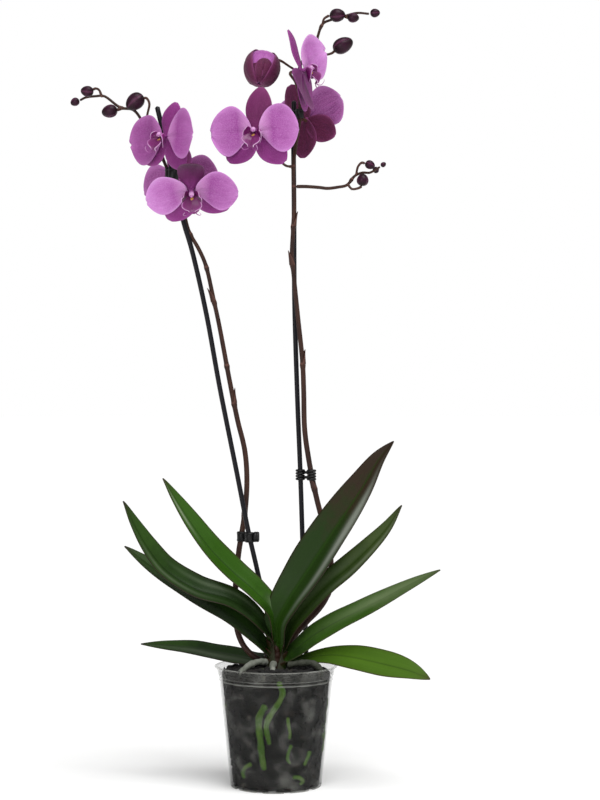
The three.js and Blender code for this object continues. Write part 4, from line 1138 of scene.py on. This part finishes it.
def lipShells():
    def columnRadius(t, angle, run):
        return 1.7 + 0.8 * np.exp(-((t - 0.86) / 0.16) ** 2) + 0.3 * np.sin(angle) * t

    def tongueSurface(s, t):
        width = 2.6 + 6.4 * np.sin(math.pi * np.minimum(t * 1.1, 0.97)) ** 1.2
        rims = 3.4 * np.abs(s) ** 3 * (1 - 0.5 * t)
        groove = 0.8 * np.exp(-(s / 0.2) ** 2)
        rise = 4.2 + 9.5 * np.sin(2.3 * t) + rims - groove
        return np.stack([s * width, -1 - lip["reach"] * t + 0 * s, rise], -1)

    def tongueMark(s, t):
        rims = 0.5 * np.abs(s) ** 14 * (t > 0.3)
        return np.clip(0.1 + 0.3 * t + 0.1 * np.abs(s) + rims, 0, 1)

    column = tubeShell([(0, 0.2, -0.4), (0, 0.9, 3.5), (0, 2.0, 7.5), (0, 1.4, 11.6)], columnRadius, 20, 40,
                       lambda t, angle, run: 0.8 * t + 0 * angle)
    cap = [(0, -1.4), (0.9, -1.2), (1.4, -0.5), (1.5, 0.2), (1.2, 0.9), (0.6, 1.4), (0, 1.5)]
    anther = placed(latheShell(cap, 18), basisFrom((0, -0.5, 1)), (0, 0.7, 11.8))
    anther["mark"] = anther["mark"] + 0.6
    tongue = sheetShell(tongueSurface, 30, 36, lambda s, t: 1.5 - 0.8 * np.abs(s) ** 2, (0, 0, 1), tongueMark)
    wart = [(0, -2), (1.2, -1.6), (1.8, -0.6), (1.9, 0.4), (1.4, 1.3), (0.6, 1.8), (0, 1.9)]
    callus = latheShell(wart, 22, lambda r, z, angle: 0.45 * np.sin(angle * 2) * (r > 0.5))
    callus = placed(callus, np.eye(3), (0, -4.4, 8.4))
    callus["finish"], column["finish"], anther["finish"] = 1, 2, 2
    shells = [tongue, callus, column, anther]
    for mirror in (-1, 1):
        def lobeSurface(s, t, mirror=mirror):
            depth = 2.2 + 5.2 * np.sin(math.pi * np.minimum(t * 0.8 + 0.1, 1))
            return np.stack([mirror * (1.8 + 7.6 * np.sin(1.25 * t) - 2.2 * np.maximum(s, 0) ** 2 * t),
                             -4.2 + s * depth + 1.5 * t, 5.2 + 7.5 * t**1.5 + 1.6 * s * t], -1)

        shells.append(sheetShell(
            lobeSurface, 22, 26, lambda s, t: 1.1 - 0.55 * np.maximum(np.abs(s) ** 2, t**2),
            (-mirror * 0.6, 0, 0.8),
            lambda s, t: np.clip(0.12 + 0.3 * t + 0.48 * np.maximum(np.abs(s) ** 14, t**18), 0, 1)))
        end = -lip["reach"]
        curl = [(0.8, end, 11.4), (3, end - 3, 12), (6.2, end - 4, 14.4), (8, end - 1.5, 17),
                (6.6, end + 1.2, 18)]
        shells.append(tubeShell([(mirror * x, y, z) for x, y, z in curl],
                                lambda t, angle, run: lip["tendril"] * (1 - 0.7 * t) + 0 * angle, 10, 44,
                                lambda t, angle, run: 0.45 + 0.45 * t + 0 * angle))
    return shells


for index, (name, flower) in enumerate(flowers.items()):
    basis = flowerBasis(flower)
    label = name.replace("_", "")
    petals = [placed(petalShell(flower, mirror, index * 1.7 + mirror), basis, flower["centre"])
              for mirror in (-1, 1)]
    shift = shiftOnto(petals, [name + "_petal_left", name + "_petal_right"])
    boss = latheShell([(0, -2.3), (2.2, -2.1), (3.3, -1.5), (3.4, -1), (2.6, -0.6), (0, -0.4)], 24)
    length, halfWidth = sepal["dorsal"]
    size = (length * flower["dorsal"][0], halfWidth * flower["dorsal"][1])
    dorsal = lobeShell(90, size, flower["hood"], -0.95, index)
    dorsal["finish"] = 1
    sepals = [boss, dorsal,
              lobeShell(270 - flower["laterals"][0], sepal["lateral"], sepal["sweep"], -1.2, index + 1),
              lobeShell(270 + flower["laterals"][1], sepal["lateral"], sepal["sweep"], -1.5, index + 2)]
    left, right, behind, top = (petalFinish[tone] for tone in flower["finish"])
    makePiece(label + "Sepals", [placed(shell, basis, flower["centre"]) for shell in sepals], [behind, top],
              [name + "_sepals"], shift)
    makePiece(label + "PetalLeft", petals[:1], [left], [name + "_petal_left"], shift)
    makePiece(label + "PetalRight", petals[1:], [right], [name + "_petal_right"], shift)
    makePiece(label + "Lip", [placed(shell, basis, flower["centre"]) for shell in lipShells()],
              [lipFinish, callusFinish, columnFinish], [name + "_lip"], shift)
print("flowers made, largest shift", round(largestShift[0], 2), "mm")

# Buds: three closed sepals whose seams run from base to tip. Centre, the way the tip points, length and width
buds = {
    "bud_left_1": ((-137, -8, 665.5), (-0.75, 0, -0.65), 20, 16),
    "bud_left_2": ((-161.5, -10, 656), (-1, 0, -0.25), 15.5, 12.6),
    "bud_left_3": ((-183, -12.5, 675), (-1, 0, 0.1), 12.5, 10.5),
    "bud_left_4": ((-195.2, -9, 665.2), (-1, 0, -0.5), 9, 8),
    "bud_right_1": ((65.5, 6, 723), (0.88, 0, 0.45), 21, 15.5),
    "bud_right_2": ((60, 2, 751.6), (1, 0, 0.1), 15.5, 13),
    "bud_right_3": ((75.3, -3.2, 748.2), (1, -0.2, -0.1), 11.5, 9.5),
    "bud_right_4": ((96.8, 2, 753.8), (1, 0, 0.1), 9.6, 8.4),
    "bud_branch_1": ((84.3, -8, 589.6), (0.1, 0, 1), 12, 11.5),
    "bud_branch_2": ((91.5, -6.5, 604.4), (0.9, 0, -0.4), 10, 8.6),
    "bud_branch_3": ((97.6, 2.3, 600.5), (0.3, 1, 0.2), 7, 6.4),
    "bud_branch_4": ((104.6, -4, 605), (1, 0, 0.7), 5.6, 5),
}
budBuild = {"seamDepth": 0.07, "seamWidth": 0.16, "rings": 36, "sides": 48}


def budShell(centre, tip, length, width, spin):
    angle = np.linspace(0, math.pi, budBuild["rings"])[1:-1]
    profile = [(0, -length / 2)]
    for a in angle:
        profile.append((width / 2 * math.sin(a) * (1 + 0.12 * math.cos(a)), -length / 2 * math.cos(a)))
    profile.append((0, length / 2))

    def seams(turn):
        away = (turn * 3 / (2 * math.pi) + 0.5) % 1 - 0.5
        return np.exp(-(away * 2 * math.pi / 3 / budBuild["seamWidth"]) ** 2)

    shell = latheShell(profile, budBuild["sides"],
                       lambda r, z, turn: -budBuild["seamDepth"] * r * seams(turn))
    turns = np.linspace(0, 2 * math.pi, budBuild["sides"], endpoint=False)
    rings = len(profile) - 2
    shell["mark"] = np.concatenate([np.tile(seams(turns), rings), [0, 0]])
    shell["uv"] = np.stack([np.full(len(shell["verts"]), 0.5), shell["verts"][:, 2] / length + 0.5], -1)
    return placed(shell, basisFrom(tip, spin), centre)


for index, (name, (centre, tip, length, width)) in enumerate(buds.items()):
    bud = budShell(centre, tip, length, width, 0.6 + 0.9 * index)
    makePiece(name.replace("_", "") + "Egg", [bud], [budFinish], [name])

# Half-open bud: dark outer parts, the last two of them short flaps in front, open over three pale inner ones.
# Each is where it stands round the bud and half its spread, in radians, then how far from the base it starts.
opening = {"centre": (-13.5, -14, 696.5), "tip": (-0.15, -0.5, -0.85), "length": 38, "width": 36,
           "outer": ((-0.15, 0.72, 0.02), (-3.0, 0.72, 0.02), (1.45, 0.95, 0.02), (-1.75, 0.62, 0.5),
                     (-1.15, 0.62, 0.6)),
           "inner": ((-1.57, 0.85), (0.6, 0.6), (2.5, 0.6))}


def openingShell(start, reach, first, scale, finish, flare, outside):
    def surface(s, t):
        lead = first + 0.08 * s**2 * (first > 0.3)
        polar = math.pi * (lead + (0.99 - lead) * t)
        angle = start + s * reach * (0.8 + 0.75 * t - 0.35 * t**4)
        belly = np.sin(math.pi * t)
        fold = 0.9 * np.abs(s) ** 4 * belly + flare * t**4 - 0.8 * np.exp(-(s / 0.1) ** 2) * belly
        r = scale * opening["width"] / 2 * np.sin(polar) ** 0.85 * (1 + 0.1 * np.cos(polar)) + fold
        z = -scale * opening["length"] / 2 * np.cos(polar)
        return np.stack([r * np.cos(angle), r * np.sin(angle), z], -1)

    facing = np.array([math.cos(start), math.sin(start), 0]) * outside
    shell = sheetShell(surface, 40, 44, lambda s, t: 1.0 - 0.5 * np.abs(s) ** 3, facing)
    shell["finish"] = finish
    return placed(shell, basisFrom(opening["tip"]), opening["centre"])


openBud = [openingShell(start, reach, first, 0.97 - 0.015 * i, 0, 1.0, -1)
           for i, (start, reach, first) in enumerate(opening["outer"])]
openBud += [openingShell(start, reach, 0.02, 0.89 - 0.02 * i, 1, 0.2, 1)
            for i, (start, reach) in enumerate(opening["inner"])]
makePiece("halfOpenBud", openBud, [petalFinish["darkAndShadedSepal"], petalFinish["petal"]], ["half_open_bud"])
print("buds made")

# Stakes: the route of each rod from inside the bark to its tip
stakeRadius = 2.4
stakes = {
    "stake_left": [(3, 23, 30), (1.7, 22, 111), (-17.6, 13, 204), (-26, 9.5, 241), (-29.5, 8.5, 258),
                   (-38.6, 7, 305), (-54.8, 6, 386), (-68.6, 3, 462), (-82.4, 0, 523), (-90, -3, 549),
                   (-101, -6, 599), (-115.3, -8, 660)],
    "stake_right": [(30, 27, 30), (29.8, 27, 110), (25.6, 23, 246.5), (23.7, 21, 305), (21, 19, 373),
                    (18, 16, 474), (17.5, 12, 572), (17, 10, 640), (17.5, 9, 668)],
}
for name, points in stakes.items():
    rod = tubeShell(points, lambda t, angle, run: stakeRadius + 0.03 * np.sin(angle * 6) + 0 * t, 24, 160)
    makePiece(name.replace("_", "") + "Rod", [rod], [stakeFinish], [name])

# Clips: two sleeves joined by a web. One kind is wound from rings, one has a barrel beside it.
clipBuild = {"stakeHole": 2.5, "stemHole": 3.0, "bevel": 0.5, "lead": 0.3, "webDepth": 2.6, "segments": 36}
clips = {
    "clip_left_lower": {"stakeAt": (-26, 9.5, 241), "stemAt": (-34.4, 21, 241), "height": 10, "sleeve": 4.4,
                        "rings": 0, "barrelAt": (-19.4, 8.5, 241.5)},
    "clip_left_upper": {"stakeAt": (-100, -5.8, 594), "stemAt": (-103.4, 0, 594), "height": 17, "sleeve": 4.9,
                        "rings": 0, "barrelAt": None},
    "clip_right_lower": {"stakeAt": (23.7, 21, 302), "stemAt": (34.7, 14, 302), "height": 11, "sleeve": 4.8,
                         "rings": 4, "barrelAt": None},
    "clip_right_upper": {"stakeAt": (17.3, 9.2, 655), "stemAt": (23, 0, 655), "height": 9, "sleeve": 4.1,
                         "rings": 0, "barrelAt": None},
}


def sleeveShell(centre, outer, inner, height):
    half, bevel, lead = height / 2, clipBuild["bevel"], clipBuild["lead"]
    profile = [(outer - bevel, -half), (outer, -half + bevel), (outer, half - bevel), (outer - bevel, half),
               (inner + lead, half), (inner, half - lead), (inner, -half + lead), (inner + lead, -half)]
    return ringShell(profile, clipBuild["segments"], centre)


def clipShells(clip):
    shells = []
    stakeAt, stemAt = np.array(clip["stakeAt"], float), np.array(clip["stemAt"], float)
    for centre, hole in ((stakeAt, clipBuild["stakeHole"]), (stemAt, clipBuild["stemHole"])):
        if clip["rings"]:
            pitch = clip["height"] / clip["rings"]
            wire = pitch * 0.46
            turns = [(clip["sleeve"] - wire + wire * math.cos(a), wire * math.sin(a))
                     for a in np.linspace(0, 2 * math.pi, 12, endpoint=False)]
            for i in range(clip["rings"]):
                level = (i + 0.5) * pitch - clip["height"] / 2
                shells.append(ringShell(turns, clipBuild["segments"], centre + np.array([0, 0, level])))
        else:
            shells.append(sleeveShell(centre, clip["sleeve"], hole, clip["height"]))
            for level in (-0.34, 0.34):
                collar = centre + np.array([0, 0, level * clip["height"]])
                shells.append(sleeveShell(collar, clip["sleeve"] + 0.45, clip["sleeve"] - 0.6, 1.2))
    span = stemAt - stakeAt
    along = unit(span)
    flat = np.stack([along, np.cross((0, 0, 1), along), (0, 0, 1)], axis=1)
    for level in (-0.22, 0.22):
        web = np.array([np.linalg.norm(span), clipBuild["webDepth"], clip["height"] * 0.24])
        shells.append(boxShell(web, flat, (stakeAt + stemAt) / 2 + np.array([0, 0, level * clip["height"]])))
    if clip["barrelAt"]:
        barrel = [(0, -3), (3.6, -3), (4.6, -2.6), (5.1, -1.8), (5.2, -0.4), (4.9, -0.2), (4.9, 0.2),
                  (5.2, 0.4), (5.1, 1.8), (4.6, 2.6), (3.4, 3), (2.8, 2.6), (0, 2.4)]
        shells.append(placed(latheShell(barrel, 40), basisFrom((1, 0, 0)), clip["barrelAt"]))
    return shells


for name, clip in clips.items():
    makePiece(name.replace("_", "") + "Moulding", clipShells(clip), [clipFinish], [name])
print("stakes and clips made")

# Studio: pale floor, a white backdrop that lights softly, a broad sun from above the right and a weak fill
# from the left. All lights point at the middle of the plant.
studio = {
    "floor": "#fbfbfa", "floorReach": 40, "backdrop": 1.0, "skyLight": 0.42, "aim": (0, 0, 0.42),
    "sunFrom": (0.3, -0.5, 1.0), "sunPower": 2.5, "sunSpread": 45,
    "fillPlace": (-0.6, -1.7, 0.9), "fillSize": 1.0, "fillPower": 9,
}
floorMaterial, floorTree, floorShader = startMaterial("matPaintedFloor", {"Roughness": 0.85})
floorTone = addNode(floorTree, "Mix", {"data_type": "RGBA", 6: studio["floor"], 7: "#ffffff"},
                    {0: mottle(floorTree, 60)}, 2)
bumpAndColour(floorTree, floorShader, floorTone, mottle(floorTree, 2), 0.05, 0.05)
floorMesh = bpy.data.meshes.new("studioFloor")
reach = studio["floorReach"]
corners = [(-reach, -reach, 0), (reach, -reach, 0), (reach, reach, 0), (-reach, reach, 0)]
floorMesh.from_pydata(corners, [], [(0, 1, 2, 3)])
floorMesh.materials.append(floorMaterial)
floor = bpy.data.objects.new("studioFloor", floorMesh)
bpy.context.scene.collection.objects.link(floor)

world = bpy.data.worlds.new("studioWorld")
world.use_nodes = True
worldTree = world.node_tree
backdrop = addNode(worldTree, "Background", {"Color": "#ffffff", "Strength": studio["backdrop"]})
skyLight = addNode(worldTree, "Background", {"Color": "#ffffff", "Strength": studio["skyLight"]})
seen = addNode(worldTree, "LightPath", out="Is Camera Ray")
both = addNode(worldTree, "MixShader", links={0: seen, 1: skyLight, 2: backdrop})
worldTree.links.new(both, worldTree.nodes["World Output"].inputs["Surface"])
bpy.context.scene.world = world


def addLight(name, kind, place, settings):
    lamp = bpy.data.lights.new(name, kind)
    for key, value in settings.items():
        setattr(lamp, key, value)
    light = bpy.data.objects.new(name, lamp)
    light.location = place
    light.rotation_euler = (Vector(studio["aim"]) - Vector(place)).to_track_quat("-Z", "Y").to_euler()
    bpy.context.scene.collection.objects.link(light)


addLight("sunLight", "SUN", Vector(studio["aim"]) + Vector(studio["sunFrom"]) * 2,
         {"energy": studio["sunPower"], "angle": math.radians(studio["sunSpread"])})
addLight("fillLight", "AREA", studio["fillPlace"],
         {"energy": studio["fillPower"], "size": studio["fillSize"]})

# Camera: level, a long way off, at the height of the middle of the plant
view = {"place": (0.0234, -1.9, 0.3757), "frameHeight": 0.7808, "sensor": 24}
lens = bpy.data.cameras.new("camera")
lens.sensor_fit = "VERTICAL"
lens.sensor_height = view["sensor"]
lens.lens = view["sensor"] * abs(view["place"][1]) / view["frameHeight"]
camera = bpy.data.objects.new("camera", lens)
camera.location = view["place"]
camera.rotation_euler = (math.pi / 2, 0, 0)
bpy.context.scene.collection.objects.link(camera)
bpy.context.scene.camera = camera
bpy.context.scene.view_settings.view_transform = "Standard"
print("studio ready")

print("sizes written, largest shift", round(largestShift[0], 2), "mm")
